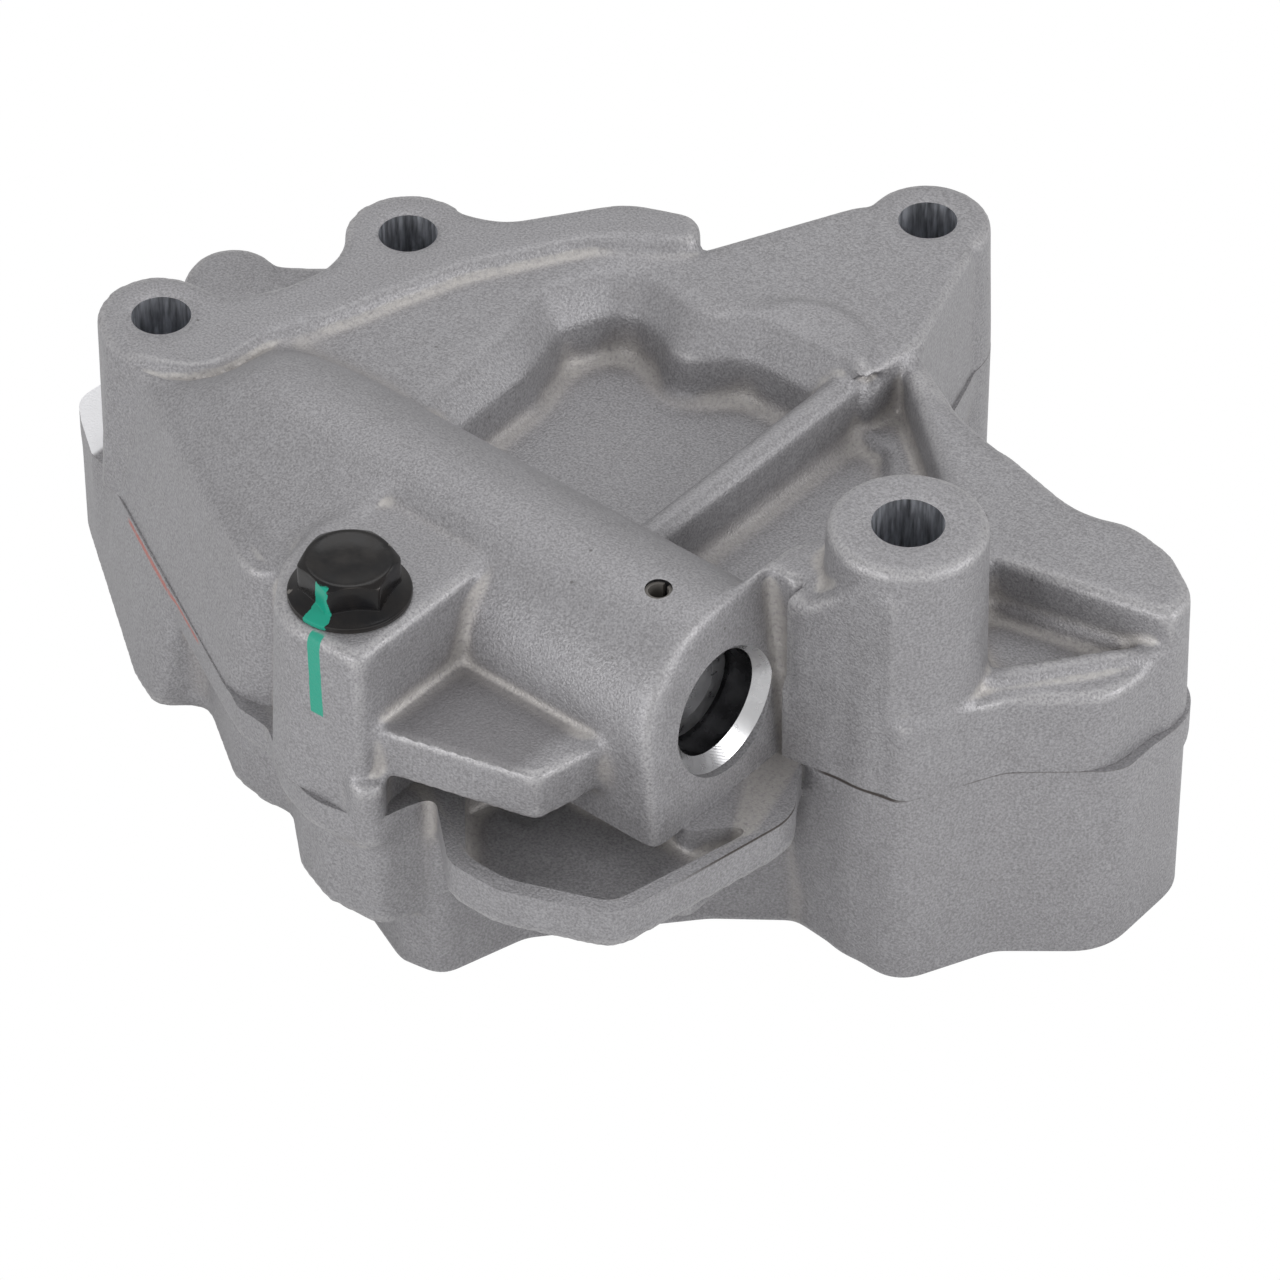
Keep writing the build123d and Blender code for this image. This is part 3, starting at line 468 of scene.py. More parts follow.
def square_boss(obj):
    """Turn the tall boss's front into two flats that meet in an upright crease."""
    places, normals, edges, counts = read_mesh(obj.data)
    out = places[:, :2] - np.array(HOLES["d"][:2])
    radius = np.maximum(np.hypot(out[:, 0], out[:, 1]), 0.1)
    out = out / radius[:, None]
    angle = np.arctan2(out[:, 0], -out[:, 1])
    turns = [np.clip(angle - math.radians(turn), -BOSS_TURN_LIMIT, BOSS_TURN_LIMIT) for turn, _ in BOSS_FLATS]
    flats = [distance / np.cos(turn) for turn, (_, distance) in zip(turns, BOSS_FLATS)]
    target = np.where(angle < math.radians(BOSS_CREASE), flats[0], flats[1])
    facing = np.einsum("ij,ij->i", normals[:, :2], out)
    top = BOSS_TOP - BOSS_LEFT_DROP * np.clip(-angle / BOSS_LEFT_FADE, 0, 1)
    weight = np.clip((facing - BOSS_FACING) / BOSS_FACING_FADE, 0, 1)
    weight = weight * np.clip((top - places[:, 2]) / BOSS_TOP_FADE, 0, 1)
    weight *= np.clip((places[:, 0] - BOSS_FROM_X) / BOSS_X_FADE, 0, 1) * (radius > BOSS_INNER)
    weight *= (angle > BOSS_LEFT_END) & (angle < math.radians(BOSS_FLATS[1][0]))
    push = np.clip(target - radius, 0, BOSS_PUSH) * weight
    apply_moves(obj, push[:, None] * out, edges, counts, BOSS_PASSES)


def raise_plateau(obj):
    """Low curved step at the right end of the deck, fading out to its left."""
    for vertex in obj.data.vertices:
        x, y, z = vertex.co / MM
        if z < STEP_LOW or not (STEP_X[0] < x < STEP_X[1] and STEP_Y[0] < y < STEP_Y[1]):
            continue
        inside = STEP_RADIUS - math.hypot(x - STEP_CENTRE[0], y - STEP_CENTRE[1])
        rise = share_between(inside / STEP_EDGE) * math.exp(-max(0.0, inside) / STEP_FADE)
        vertex.co.z += STEP_RISE * rise * MM


def mouth_plug():
    """Plug for the relief bore's mouth, flush with the leaning face round it."""
    mesh = drill_x(54.0, MOUTH_FOOT_X, VALVE_R + MOUTH_CHAMFER + PLUG)
    lean = (MOUTH_FOOT_X - MOUTH_X) / (VALVE_Z - SPLIT)
    for vertex in mesh.vertices:
        if vertex.co.x > MOUTH_X * MM:
            vertex.co.x = (MOUTH_FOOT_X - 0.02) * MM - (vertex.co.z - SPLIT * MM) * lean
    return mesh


def cover_plugs():
    low = SPLIT - STRETCH
    plugs = [drill(x, y, low, COVER_PLUG_TOPS[key], radius + PLUG) for key, (x, y, radius) in HOLES.items()]
    plugs.append(drill(*BOLT, low, PAD_Z - 0.5, BOLT_HOLE_R + PLUG))
    plugs.append(drill_x(VALVE_START - 1.0, 57.0, VALVE_R + PLUG))
    plugs.append(mouth_plug())
    plugs.append(drill(*PIN, 36.0, 65.3, PIN_R + PLUG))
    for x, y in (DRIVE_AXIS, IDLER_AXIS):
        plugs.append(drill(x, y, low, COVER_BORE_TOP + 0.5, DRIVE_BORE_R + PLUG))
    plugs += [drill(x, y, low, SCREW_TOP + 1.0, SCREW_R + PLUG) for x, y in SCREWS]
    plugs += [drill(x, y, low, DOWEL_TOP + 0.5, DOWEL_R + PLUG) for x, y in DOWELS]
    return plugs


def make_cover():
    """The upper casting, and a copy of it whose foot isn't cut yet."""
    cover = cast_copy("cover_casting", "pump_cover", [(SPLIT, SPLIT - STRETCH)], cover_plugs())
    push_wall(cover)
    raise_plateau(cover)
    soften(cover, SOFT_ZONES, 4 * PASSES)
    press_ledge(cover)
    square_boss(cover)
    marks = surface_marks(cover.data)
    foot = cover.copy()
    foot.data = cover.data.copy()
    cut(cover, block((-FAR, -FAR, 0), (FAR, FAR, SPLIT)))
    for x, y, radius in [*HOLES.values(), (*BOLT, BOLT_HOLE_R)]:
        cut(cover, drill(x, y, COVER_UNDER, COVER_OVER, radius))
    cut(cover, drill_x(VALVE_SEAT, 64.0, VALVE_R))
    cut(cover, drill_x(VALVE_START, VALVE_SEAT + 1.0, VALVE_SEAT_R))
    cut(cover, drill_x(MOUTH_X - MOUTH_CHAMFER, MOUTH_X, VALVE_R, VALVE_R + MOUTH_CHAMFER))
    cut(cover, drill_x(MOUTH_X - 0.01, MOUTH_X + 5.0, VALVE_R + MOUTH_CHAMFER))
    cut(cover, drill(*PIN, VALVE_Z - PIN_DEPTH, COVER_OVER, PIN_R))
    cut(cover, drill(*DRIVE_AXIS, COVER_UNDER, COVER_BORE_TOP, DRIVE_BORE_R))
    cut(cover, drill(*IDLER_AXIS, COVER_UNDER, COVER_BORE_TOP, IDLER_BORE_R))
    for x, y in SCREWS:
        cut(cover, drill(x, y, COVER_UNDER, SCREW_TOP, SCREW_R))
    for x, y in DOWELS:
        cut(cover, drill(x, y, COVER_UNDER, DOWEL_TOP, DOWEL_R))
    write_marks(cover.data, *marks)
    return cover, foot


def body_plugs():
    plugs = [drill(*numbers) for numbers in BODY_PLUGS]
    for x, y in SCREWS:
        low = PLUG_LOW if y > -20 else PLUG_LOW_RAISED
        plugs.append(drill(x, y, low, PLUG_HIGH, SCREW_HEAD_R + PLUG))
    plugs += [drill(x, y, DOWEL_FLOOR - 1.0, PLUG_HIGH, DOWEL_R + PLUG) for x, y in DOWELS]
    for key, (x, y, radius) in HOLES.items():
        low = PLUG_LOW_RAISED if key == "a" else PLUG_LOW
        plugs.append(drill(x, y, low, PLUG_HIGH, radius + PLUG))
    return plugs


def make_body(foot):
    """The lower casting, its right wall flush with the other casting's foot."""
    planes = [(SPLIT, SPLIT + STRETCH), (0.0, -STRETCH)]
    body = cast_copy("body_casting", "pump_body", planes, body_plugs())
    flush_body(body)
    match_outline(body, foot)
    marks = surface_marks(body.data)
    cut(body, block((-FAR, -FAR, SPLIT), (FAR, FAR, SPLIT + 60)))
    cut(body, block((-FAR, -FAR, -60), (FAR, FAR, 0)))
    for x, y, radius in HOLES.values():
        cut(body, drill(x, y, -20.0, BODY_OVER, radius))
    for x, y in (DRIVE_AXIS, IDLER_AXIS):
        cut(body, drill(x, y, CHAMBER_FLOOR, BODY_OVER, CHAMBER_R))
    cut(body, drill(*DRIVE_AXIS, DRIVE_END_TOP, 20.0, DRIVE_BORE_R))
    cut(body, drill(*DRIVE_AXIS, BODY_UNDER, DRIVE_END_TOP, DRIVE_END_R))
    cut(body, drill(*IDLER_AXIS, IDLER_BORE_FLOOR, 20.0, IDLER_BORE_R))
    for x, y, radius in (INLET, OUTLET):
        cut(body, drill(x, y, BODY_UNDER, CHAMBER_FLOOR + 2, radius))
    for low, high in (INLET_CHAMBER, OUTLET_CHAMBER):
        cut(body, block((*low, CHAMBER_FLOOR), (*high, BODY_OVER)))
    for x, y, radius in (INLET, OUTLET):
        groove = add_object("groove", drill(x, y, -1.0, GROOVE_DEPTH, radius + GROOVE_OUT))
        cut(groove, drill(x, y, -2.0, GROOVE_DEPTH + 1.0, radius + GROOVE_IN))
        cut(body, groove.data)
        bpy.data.objects.remove(groove)
    cut(body, drill(*BOLT, BOLT_HOLE_FLOOR, BODY_OVER, BOLT_THREAD_R))
    for x, y in SCREWS:
        cut(body, drill(x, y, BODY_UNDER, SCREW_HEAD_TOP, SCREW_HEAD_R))
        cut(body, drill(x, y, 10.0, BODY_OVER, SCREW_HOLE_R))
    for x, y in DOWELS:
        cut(body, drill(x, y, DOWEL_FLOOR, BODY_OVER, DOWEL_R))
    write_marks(body.data, *marks)
    return body


def machined_faces(obj, is_cover):
    """Give the cut faces their own finishes."""
    tolerance = 0.06
    for polygon in obj.data.polygons:
        x, y, z = polygon.center / MM
        nx, _, nz = polygon.normal
        upright, along_valve = abs(nz) < 0.05, abs(nx) < 0.05
        index = CAST
        at_split = abs(z - SPLIT) < 0.01 and (is_cover or x < -50.0)
        if abs(nz) > 0.99 and (abs(z) < 0.01 or at_split):
            index = MACHINED
        for hole_x, hole_y, radius in HOLES.values():
            if upright and abs(math.hypot(x - hole_x, y - hole_y) - radius) < tolerance:
                index = DRILLED
        if is_cover:
            from_axis = math.hypot(y - VALVE_Y, z - VALVE_Z)
            chamfer_x = MOUTH_X - MOUTH_CHAMFER
            if x < chamfer_x + 0.01 and abs(from_axis - VALVE_R) < tolerance and along_valve:
                index = BORE
            ring = VALVE_R + (x - MOUTH_X + MOUTH_CHAMFER)
            in_ring = chamfer_x < x < MOUTH_X + 0.01
            if in_ring and abs(from_axis - ring) < 0.05 and 0.6 < abs(nx) < 0.8:
                index = MACHINED
            if upright and abs(math.hypot(x - PIN[0], y - PIN[1]) - PIN_R) < tolerance:
                index = BORE
        polygon.material_index = index


# Bolt and spring

def hexagon_radius(angle):
    """Distance to the head's side, its corners slightly rounded."""
    turned = (angle - math.radians(BOLT_TURN) + math.pi / 6) % (math.pi / 3) - math.pi / 6
    side = HEAD_FLAT / math.cos(math.radians(30) - abs(turned))
    corner = HEAD_FLAT / math.cos(math.radians(30)) - CORNER_CUT
    return -math.log(math.exp(-CORNER_SHARP * side) + math.exp(-CORNER_SHARP * corner)) / CORNER_SHARP


def cone_height(radius):
    """Height of the flange's hollow cone."""
    return CONE_FOOT + (CONE_TOP - CONE_FOOT) * ((CONE_R - radius) / (CONE_R - HEAD_FLAT)) ** CONE_CURVE


def make_bolt():
    """Flange bolt with a low head, as rings of radius and height from its top down to its tip."""
    count = 240
    angles = [2 * math.pi * index / count for index in range(count)]
    sides = [hexagon_radius(angle) for angle in angles]
    rings = [[(radius, HEAD_TOP + drop)] * count for radius, drop in HEAD_PROFILE]
    for share in (0.5, 0.85, 1.0):
        inset = BEVEL_INSET if share == 1.0 else 0.0
        ring = []
        for radius in sides:
            here = BEVEL_R + (radius - BEVEL_R) * share
            height = HEAD_TOP - BEVEL_START - (here - BEVEL_R) * BEVEL_SLOPE - BEVEL_CURL * share ** 4
            ring.append((here - inset, height))
        rings.append(ring)
    tops = [height for _, height in rings[-1]]
    feet = [cone_height(radius) for radius in sides]
    for share in (0.06, 0.3, 0.6, 0.9, 0.97):
        rings.append([(radius, top + (foot - top) * share) for radius, top, foot in zip(sides, tops, feet)])
    for share in (0.02, 0.1, 0.4, 0.7, 0.93):
        radii = [radius + (CONE_R - radius) * share for radius in sides]
        rings.append([(radius, cone_height(radius)) for radius in radii])
    rings += [[point] * count for point in SHANK_PROFILE]
    mesh = skin("flange_bolt", [
        [(radius * math.cos(angle) * MM, radius * math.sin(angle) * MM, height * MM)
         for angle, (radius, height) in zip(angles, ring)] for ring in rings])
    mesh.transform(Matrix.Translation((BOLT[0] * MM, BOLT[1] * MM, PAD_Z * MM)))
    return add_object("flange_bolt", mesh)


def spring_level(share):
    """Share of the spring's length at a share of its turns: slow in the closed ends."""
    closed = SPRING_CLOSED / SPRING_TURNS
    along = share_between((share - closed) / (1 - 2 * closed))
    return (SPRING_DEAD * min(share / closed, 1.0) + (1 - 2 * SPRING_DEAD) * along
            + SPRING_DEAD * max(0.0, (share - 1 + closed) / closed))


def make_spring():
    """Round-wire relief spring with closed ends, in the place of the model's plain coil."""
    low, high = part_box("relief_spring")
    axis_y, axis_z = (low[1] + high[1]) / 2, (low[2] + high[2]) / 2
    wire = SPRING_WIRE * MM
    coil = (high[2] - low[2]) / 2 - wire
    start, run = low[0] + wire, high[0] - low[0] - 2 * wire
    steps = SPRING_TURNS * 48
    sides = 16
    points = []
    for index in range(steps + 1):
        share = index / steps
        angle = 2 * math.pi * SPRING_TURNS * share
        points.append(Vector((start + run * spring_level(share), axis_y + coil * math.cos(angle),
                              axis_z + coil * math.sin(angle))))
    turns = [2 * math.pi * side / sides for side in range(sides)]
    rings = []
    for index, point in enumerate(points):
        forward = (points[min(index + 1, steps)] - points[max(index - 1, 0)]).normalized()
        outward = Vector((0.0, point.y - axis_y, point.z - axis_z)).normalized()
        across = forward.cross(outward).normalized()
        outward = across.cross(forward)
        rings.append([point + wire * (math.cos(turn) * outward + math.sin(turn) * across) for turn in turns])
    return add_object("round_wire_spring", skin("round_wire_spring", rings)), low, high


# Materials

class Nodes:
    """Short way to write a material's nodes. A value is a number, a colour or another node's output."""

    def __init__(self, name):
        self.material = bpy.data.materials.new(name)
        self.material.use_nodes = True
        self.tree = self.material.node_tree
        self.shader = self.tree.nodes["Principled BSDF"]

    def new(self, kind, **settings):
        node = self.tree.nodes.new(kind)
        for key, value in settings.items():
            setattr(node, key, value)
        return node

    def put(self, value, socket):
        if isinstance(value, bpy.types.NodeSocket):
            self.tree.links.new(value, socket)
        else:
            socket.default_value = value + (1,) if isinstance(value, tuple) else value

    def coords(self):
        return self.new("ShaderNodeTexCoord").outputs["Object"]

    def axes(self, output="Object"):
        node = self.new("ShaderNodeSeparateXYZ")
        self.put(self.new("ShaderNodeTexCoord").outputs[output], node.inputs[0])
        return node.outputs

    def noise(self, scale, detail=2.0, roughness=0.5, vector=None):
        node = self.new("ShaderNodeTexNoise")
        self.put(scale, node.inputs["Scale"])
        self.put(detail, node.inputs["Detail"])
        self.put(roughness, node.inputs["Roughness"])
        self.put(vector or self.coords(), node.inputs["Vector"])
        return node.outputs["Fac"]

    def ramp(self, value, *stops):
        """Colours or greys at positions."""
        node = self.new("ShaderNodeValToRGB")
        for element, (position, colour) in zip(node.color_ramp.elements, stops):
            element.position = position
            element.color = (*colour, 1) if isinstance(colour, tuple) else (colour, colour, colour, 1)
        self.put(value, node.inputs["Fac"])
        return node.outputs["Color"]

    def math(self, operation, *values):
        node = self.new("ShaderNodeMath", operation=operation)
        for socket, value in zip(node.inputs, values):
            self.put(value, socket)
        return node.outputs[0]

    def mix(self, factor, first, second):
        node = self.new("ShaderNodeMix", data_type="RGBA")
        for socket, value in ((node.inputs[0], factor), (node.inputs[6], first), (node.inputs[7], second)):
            self.put(value, socket)
        return node.outputs[2]

    def tint(self, base, mask, share, colour):
        """A share of the colour where the mask is."""
        return self.mix(self.math("MULTIPLY", mask, share), base, colour)

    def mix_shaders(self, factor, first, second):
        node = self.new("ShaderNodeMixShader")
        for socket, value in zip(node.inputs, (factor, first, second)):
            self.put(value, socket)
        return node.outputs[0]

    def bump(self, height, strength, distance):
        node = self.new("ShaderNodeBump")
        self.put(strength, node.inputs["Strength"])
        self.put(distance, node.inputs["Distance"])
        self.put(height, node.inputs["Height"])
        return node.outputs["Normal"]

    def attribute(self, name):
        return self.new("ShaderNodeAttribute", attribute_name=name).outputs["Fac"]

    def rise(self, value, low, high):
        """0 below low, 1 above high."""
        node = self.new("ShaderNodeMapRange", interpolation_type="SMOOTHSTEP")
        self.put(low, node.inputs["From Min"])
        self.put(high, node.inputs["From Max"])
        self.put(value, node.inputs["Value"])
        return node.outputs["Result"]

    def inverse(self, mask):
        return self.math("SUBTRACT", 1.0, mask)

    def fall(self, value, low, high):
        """1 below low, 0 above high."""
        return self.inverse(self.rise(value, low, high))

    def band(self, value, low, high, soft):
        """1 between two places in millimetres, with soft ends."""
        low, high, soft = low * MM, high * MM, soft * MM
        return self.math("MULTIPLY", self.rise(value, low - soft, low + soft),
                         self.fall(value, high - soft, high + soft))

    def both(self, *masks):
        result = masks[0]
        for mask in masks[1:]:
            result = self.math("MULTIPLY", result, mask)
        return result

    def finish(self, colour, metallic, roughness, normal):
        for name, value in (("Base Color", colour), ("Metallic", metallic), ("Roughness", roughness),
                            ("Normal", normal)):
            self.put(value, self.shader.inputs[name])
        return self.material


def stripe(n, line_x, slope, half_low, half_high, low_z, high_z, front_y, wobble):
    """Mask of a painted stripe that runs down a face which looks towards -Y."""
    x, y, z = n.axes()
    ragged = n.math("MULTIPLY", n.math("SUBTRACT", n.noise(420, 3.0, 0.6), 0.5), 2 * wobble * MM)
    centre = n.math("MULTIPLY_ADD", n.math("SUBTRACT", z, low_z * MM), slope, line_x * MM)
    away = n.math("ABSOLUTE", n.math("SUBTRACT", n.math("ADD", x, ragged), centre))
    narrowing = (half_high - half_low) / (high_z - low_z)
    half = n.math("MULTIPLY_ADD", n.math("SUBTRACT", z, low_z * MM), narrowing, half_low * MM)
    inside = n.rise(n.math("SUBTRACT", half, away), -0.04 * MM, 0.04 * MM)
    tall = n.band(n.math("ADD", z, ragged), low_z, high_z, 0.08)
    front = n.fall(y, (front_y - 0.1) * MM, (front_y + 0.1) * MM)
    return n.both(inside, tall, front)


def cast_aluminium():
    """Blasted die casting: fine grain, rubbed edges with painted highlight, painted warm highlight in
    hollows, painted shade in wide hollows, and marks and painted shade at their places.
    """
    n = Nodes("cast_aluminium_blasted")
    grain = n.noise(2700, 2.0, 0.6)
    cloud = n.noise(40, 4.0, 0.55)
    blotch = n.noise(260, 3.0, 0.6)
    base = n.ramp(cloud, (0.3, (0.262, 0.256, 0.266)), (0.7, (0.302, 0.298, 0.31)))
    base = n.mix(0.3, base, n.ramp(blotch, (0.35, (0.235, 0.228, 0.236)), (0.65, (0.33, 0.325, 0.34))))
    base = n.mix(0.45, base, n.ramp(grain, (0.32, (0.14, 0.137, 0.142)), (0.68, (0.45, 0.445, 0.46))))
    ridge, bowl = n.attribute("ridge"), n.attribute("bowl")
    # Convex edges lighter: partly rubbed wear, partly painted highlight
    rubbed_and_highlit = n.both(n.rise(ridge, 0.45, 0.95), n.rise(n.noise(2600, 3.0, 0.6), 0.3, 0.7))
    base = n.tint(base, rubbed_and_highlit, 0.6, (0.5, 0.49, 0.495))
    # Painted warm highlight in concave fillets
    fillet_highlight = n.both(n.fall(ridge, -0.75, -0.2), n.rise(n.noise(1500, 3.0, 0.6), 0.15, 0.6))
    base = n.tint(base, fillet_highlight, 0.65, (0.56, 0.54, 0.515))
    # Painted shade in wide hollows, darker and warmer there
    base = n.tint(base, n.fall(bowl, -0.8, -0.1), 0.3, (0.24, 0.215, 0.205))
    specks = n.new("ShaderNodeTexVoronoi")
    n.put(130, specks.inputs["Scale"])
    n.put(n.coords(), specks.inputs["Vector"])
    base = n.tint(base, n.fall(specks.outputs["Distance"], 0.02, 0.045), 0.55, (0.07, 0.065, 0.06))
    paint = stripe(n, line_x=17.55, slope=-0.06, half_low=1.15, half_high=1.1, low_z=49.4, high_z=62.9,
                   front_y=-66.0, wobble=0.12)
    base = n.mix(paint, base, PAINT)
    x, y, z = n.axes()
    upward = n.axes("Normal")[2]
    side = n.fall(upward, 0.3, 0.6)
    # The joint between the castings, dark in places, but not inside the tray
    tray = n.both(n.rise(x, 21.0 * MM, 22.0 * MM), n.fall(y, -22.0 * MM, -21.0 * MM))
    seam = n.both(n.band(z, 33.86, 34.06, 0.06), side, n.rise(n.noise(160, 2.0), 0.3, 0.6), n.inverse(tray))
    base = n.tint(base, seam, 0.6, (0.06, 0.05, 0.045))
    # Painted shadow in its open gap under the tall boss
    gap_shadow = n.both(n.band(z, 33.55, 34.1, 0.1), side, n.band(x, 69.0, 82.0, 1.5),
                 n.fall(y, -16.0 * MM, -15.0 * MM))
    base = n.tint(base, gap_shadow, 0.9, (0.035, 0.025, 0.02))
    # Painted shade on the bolt block's ledge, darker where the barrel and the block shade it
    shelf_shade = n.both(n.band(z, 45.0, 51.0, 1.0), n.band(x, 22.0, 47.0, 2.0), n.band(y, -70.0, -45.0, 3.0),
                   n.rise(upward, 0.7, 0.95))
    base = n.tint(base, shelf_shade, 0.6, (0.13, 0.125, 0.13))
    # Thin red line under the joint
    scribe = n.both(n.band(z, 32.75, 33.45, 0.12), n.band(x, -46.0, -19.0, 0.8),
                    n.fall(y, -40.2 * MM, -40.0 * MM), n.rise(n.noise(700, 3.0), 0.25, 0.5))
    base = n.tint(base, scribe, 0.75, (0.46, 0.13, 0.10))
    # Pale flat at the far left
    faced = n.both(n.band(z, SPLIT - 0.01, SPLIT + 0.01, 0.002), n.fall(x, -60.5 * MM, -59.5 * MM))
    base = n.tint(base, faced, 0.9, (0.9, 0.9, 0.92))
    return n.finish(base, n.math("MULTIPLY", n.inverse(paint), 0.5), n.ramp(blotch, (0.3, 0.42), (0.7, 0.54)),
                    n.bump(grain, 0.8, 0.00014))


def machined_aluminium():
    """Freshly cut aluminium with fine tool marks."""
    n = Nodes("machined_aluminium")
    marks = n.new("ShaderNodeTexWave", wave_type="RINGS", rings_direction="Z")
    n.put(900, marks.inputs["Scale"])
    n.put(1.5, marks.inputs["Distortion"])
    n.put(n.coords(), marks.inputs["Vector"])
    base = n.ramp(n.noise(120, 3.0), (0.3, (0.55, 0.55, 0.56)), (0.7, (0.72, 0.72, 0.73)))
    return n.finish(base, 0.9, n.ramp(n.noise(600), (0.3, 0.24), (0.7, 0.36)),
                    n.bump(marks.outputs["Fac"], 0.12, 0.00005))


def drilled_wall():
    """Wall of a drilled hole: bright, with streaks along the drill's way."""
    n = Nodes("drilled_wall")
    stretch = n.new("ShaderNodeMapping")
    stretch.inputs["Scale"].default_value = (1.0, 1.0, 0.12)
    n.put(n.coords(), stretch.inputs["Vector"])
    streaks = n.noise(1300, 3.0, 0.6, stretch.outputs["Vector"])
    base = n.ramp(streaks, (0.35, (0.42, 0.43, 0.46)), (0.65, (0.93, 0.95, 1.0)))
    return n.finish(base, 0.95, n.ramp(streaks, (0.3, 0.3), (0.7, 0.45)), n.bump(n.noise(2200), 0.2, 0.0001))


def shaded_bore():
    """Bore wall painted near black: painted shade inside the deep bore."""
    n = Nodes("bore_painted_shade")
    cloud = n.noise(300, 3.0)
    base = n.ramp(cloud, (0.3, (0.02, 0.02, 0.022)), (0.7, (0.07, 0.07, 0.075)))
    return n.finish(base, 0.8, n.ramp(cloud, (0.3, 0.2), (0.7, 0.35)), n.bump(n.noise(2500), 0.1, 0.0001))


def black_oxide():
    """Black-finished steel with a little wear and painted highlight on its edges, and the paint stripe's
    upper end.
    """
    n = Nodes("black_oxide_steel")
    base = n.ramp(n.noise(250, 4.0, 0.6), (0.35, (0.004, 0.004, 0.005)), (0.7, (0.013, 0.011, 0.010)))
    # Lighter edges: partly wear, partly painted highlight
    wear_and_highlight = n.ramp(n.new("ShaderNodeNewGeometry").outputs["Pointiness"], (0.53, 0.0), (0.58, 1.0))
    base = n.tint(base, wear_and_highlight, 0.45, (0.3, 0.28, 0.26))
    paint = stripe(n, line_x=15.35, slope=-0.02, half_low=1.85, half_high=1.2, low_z=63.1, high_z=69.2,
                   front_y=-65.6, wobble=0.7)
    base = n.mix(paint, base, PAINT)
    n.put(1.36, n.shader.inputs["IOR"])
    return n.finish(base, 0.1, n.ramp(n.noise(500, 3.0), (0.3, 0.12), (0.7, 0.26)),
                    n.bump(n.noise(1800, 3.0), 0.08, 0.0001))


def ground_steel():
    """Ground steel of shafts, gears and pistons."""
    n = Nodes("ground_steel")
    base = n.ramp(n.noise(140, 3.0), (0.3, (0.42, 0.42, 0.43)), (0.7, (0.56, 0.56, 0.57)))
    return n.finish(base, 1.0, n.ramp(n.noise(700), (0.3, 0.25), (0.7, 0.4)),
                    n.bump(n.noise(3000), 0.08, 0.00005))


def bronze():
    """Sintered bronze of the bushes."""
    n = Nodes("sintered_bronze")
    grain = n.noise(1500, 3.0)
    base = n.ramp(grain, (0.3, (0.36, 0.22, 0.10)), (0.7, (0.56, 0.38, 0.19)))
    return n.finish(base, 0.9, n.ramp(n.noise(400), (0.3, 0.35), (0.7, 0.5)), n.bump(grain, 0.15, 0.0001))


def seal_rubber():
    """Matt black rubber."""
    n = Nodes("seal_rubber_matt")
    grain = n.noise(900, 3.0)
    base = n.ramp(grain, (0.3, (0.012, 0.012, 0.012)), (0.7, (0.03, 0.03, 0.03)))
    return n.finish(base, 0.0, n.ramp(grain, (0.3, 0.55), (0.7, 0.75)), n.bump(grain, 0.1, 0.0001))


# The pump

casting_finishes = [cast_aluminium(), machined_aluminium(), shaded_bore(), drilled_wall()]
cover, foot = make_cover()
body = make_body(foot)
bpy.data.objects.remove(foot)
for obj, node in ((cover, "pump_cover"), (body, "pump_body")):
    obj.data.materials.clear()
    for material in casting_finishes:
        obj.data.materials.append(material)
    machined_faces(obj, node == "pump_cover")
    shade(obj, 35)
    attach(obj, "base")
    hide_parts(node)

finishes = {
    "steel": ground_steel(), "black_steel": black_oxide(), "bronze": bronze(), "seal_rubber": seal_rubber(),
    "cast_aluminium": casting_finishes[CAST],
}
for entry in frame["record"]["subparts"]:
    obj = nodes[entry["node"]]
    for material_slot in obj.material_slots:
        material_slot.material = finishes[entry["material_slot"]]

bolt = make_bolt()
bolt.data.materials.append(finishes["black_steel"])
shade(bolt, 24)
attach(bolt, "base")
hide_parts("cover_flange_bolt")

spring, spring_low, spring_high = make_spring()
spring.data.materials.append(finishes["steel"])
shade(spring, 60)
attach(spring, "base")
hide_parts("relief_spring")
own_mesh(spring)


# Stage, lights and camera

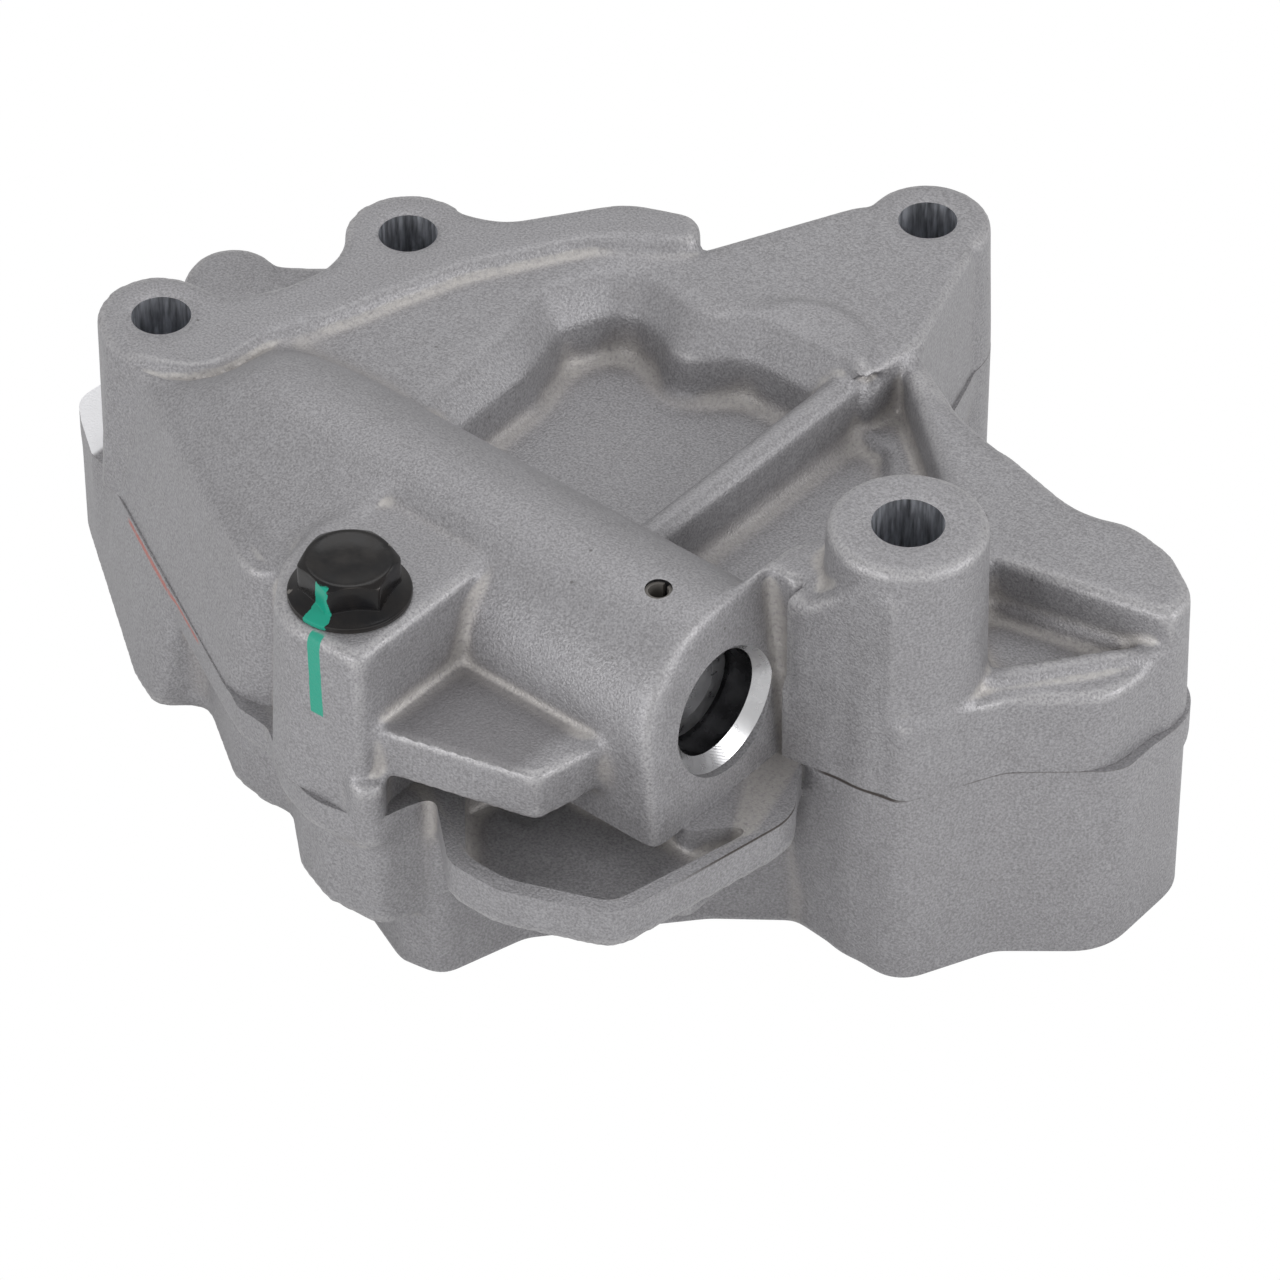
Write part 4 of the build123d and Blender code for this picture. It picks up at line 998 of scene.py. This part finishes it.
def make_floor():
    """White floor just under the mounting face, clear from below and for light that starts close to it."""
    mesh = bpy.data.meshes.new("floor")
    half, level = FLOOR_HALF, FLOOR_Z
    corners = [(-half, -half, level), (half, -half, level), (half, half, level), (-half, half, level)]
    mesh.from_pydata(corners, [], [(0, 1, 2, 3)])
    floor = add_object("floor", mesh)
    n = Nodes("floor_white")
    n.put((0.8, 0.8, 0.8), n.shader.inputs["Base Color"])
    n.put(0.9, n.shader.inputs["Roughness"])
    glow = n.new("ShaderNodeEmission")
    n.put((1, 1, 1), glow.inputs["Color"])
    rays = n.new("ShaderNodeLightPath")
    white = n.mix_shaders(rays.outputs["Is Camera Ray"], n.shader.outputs[0], glow.outputs[0])
    near = n.math("LESS_THAN", rays.outputs["Ray Length"], FLOOR_CLEAR)
    either = n.math("MAXIMUM", near, n.new("ShaderNodeNewGeometry").outputs["Backfacing"])
    clear = n.mix_shaders(either, white, n.new("ShaderNodeBsdfTransparent").outputs[0])
    n.put(clear, n.tree.nodes["Material Output"].inputs["Surface"])
    mesh.materials.append(n.material)


def area_light(name, place, size, power):
    light = bpy.data.lights.new(name, "AREA")
    light.shape = "RECTANGLE"
    light.size, light.size_y = size
    light.energy = power
    obj = add_object(name, light)
    obj.location = place
    obj.rotation_euler = (Vector(LIGHT_TARGET) - Vector(place)).to_track_quat("-Z", "Y").to_euler()


def make_world():
    world = bpy.data.worlds.new("studio")
    world.use_nodes = True
    background = world.node_tree.nodes["Background"]
    background.inputs["Color"].default_value = (1, 1, 1, 1)
    background.inputs["Strength"].default_value = WORLD_STRENGTH
    bpy.context.scene.world = world


def make_camera():
    azimuth, elevation = math.radians(CAMERA_AZIMUTH), math.radians(CAMERA_ELEVATION)
    away = Vector((math.sin(azimuth) * math.cos(elevation), -math.cos(azimuth) * math.cos(elevation),
                   math.sin(elevation)))
    data = bpy.data.cameras.new("camera")
    data.sensor_width = SENSOR_WIDTH
    data.lens = SENSOR_WIDTH * FOCAL_PIXELS / PHOTO_PIXELS
    camera = add_object("camera", data)
    camera.location = Vector(CAMERA_TARGET) + away * CAMERA_DISTANCE
    camera.rotation_euler = (-away).to_track_quat("-Z", "Y").to_euler()
    bpy.context.scene.camera = camera


make_floor()
make_world()
for light in LIGHTS:
    area_light(*light)
make_camera()
bpy.context.scene.view_settings.view_transform = "Standard"
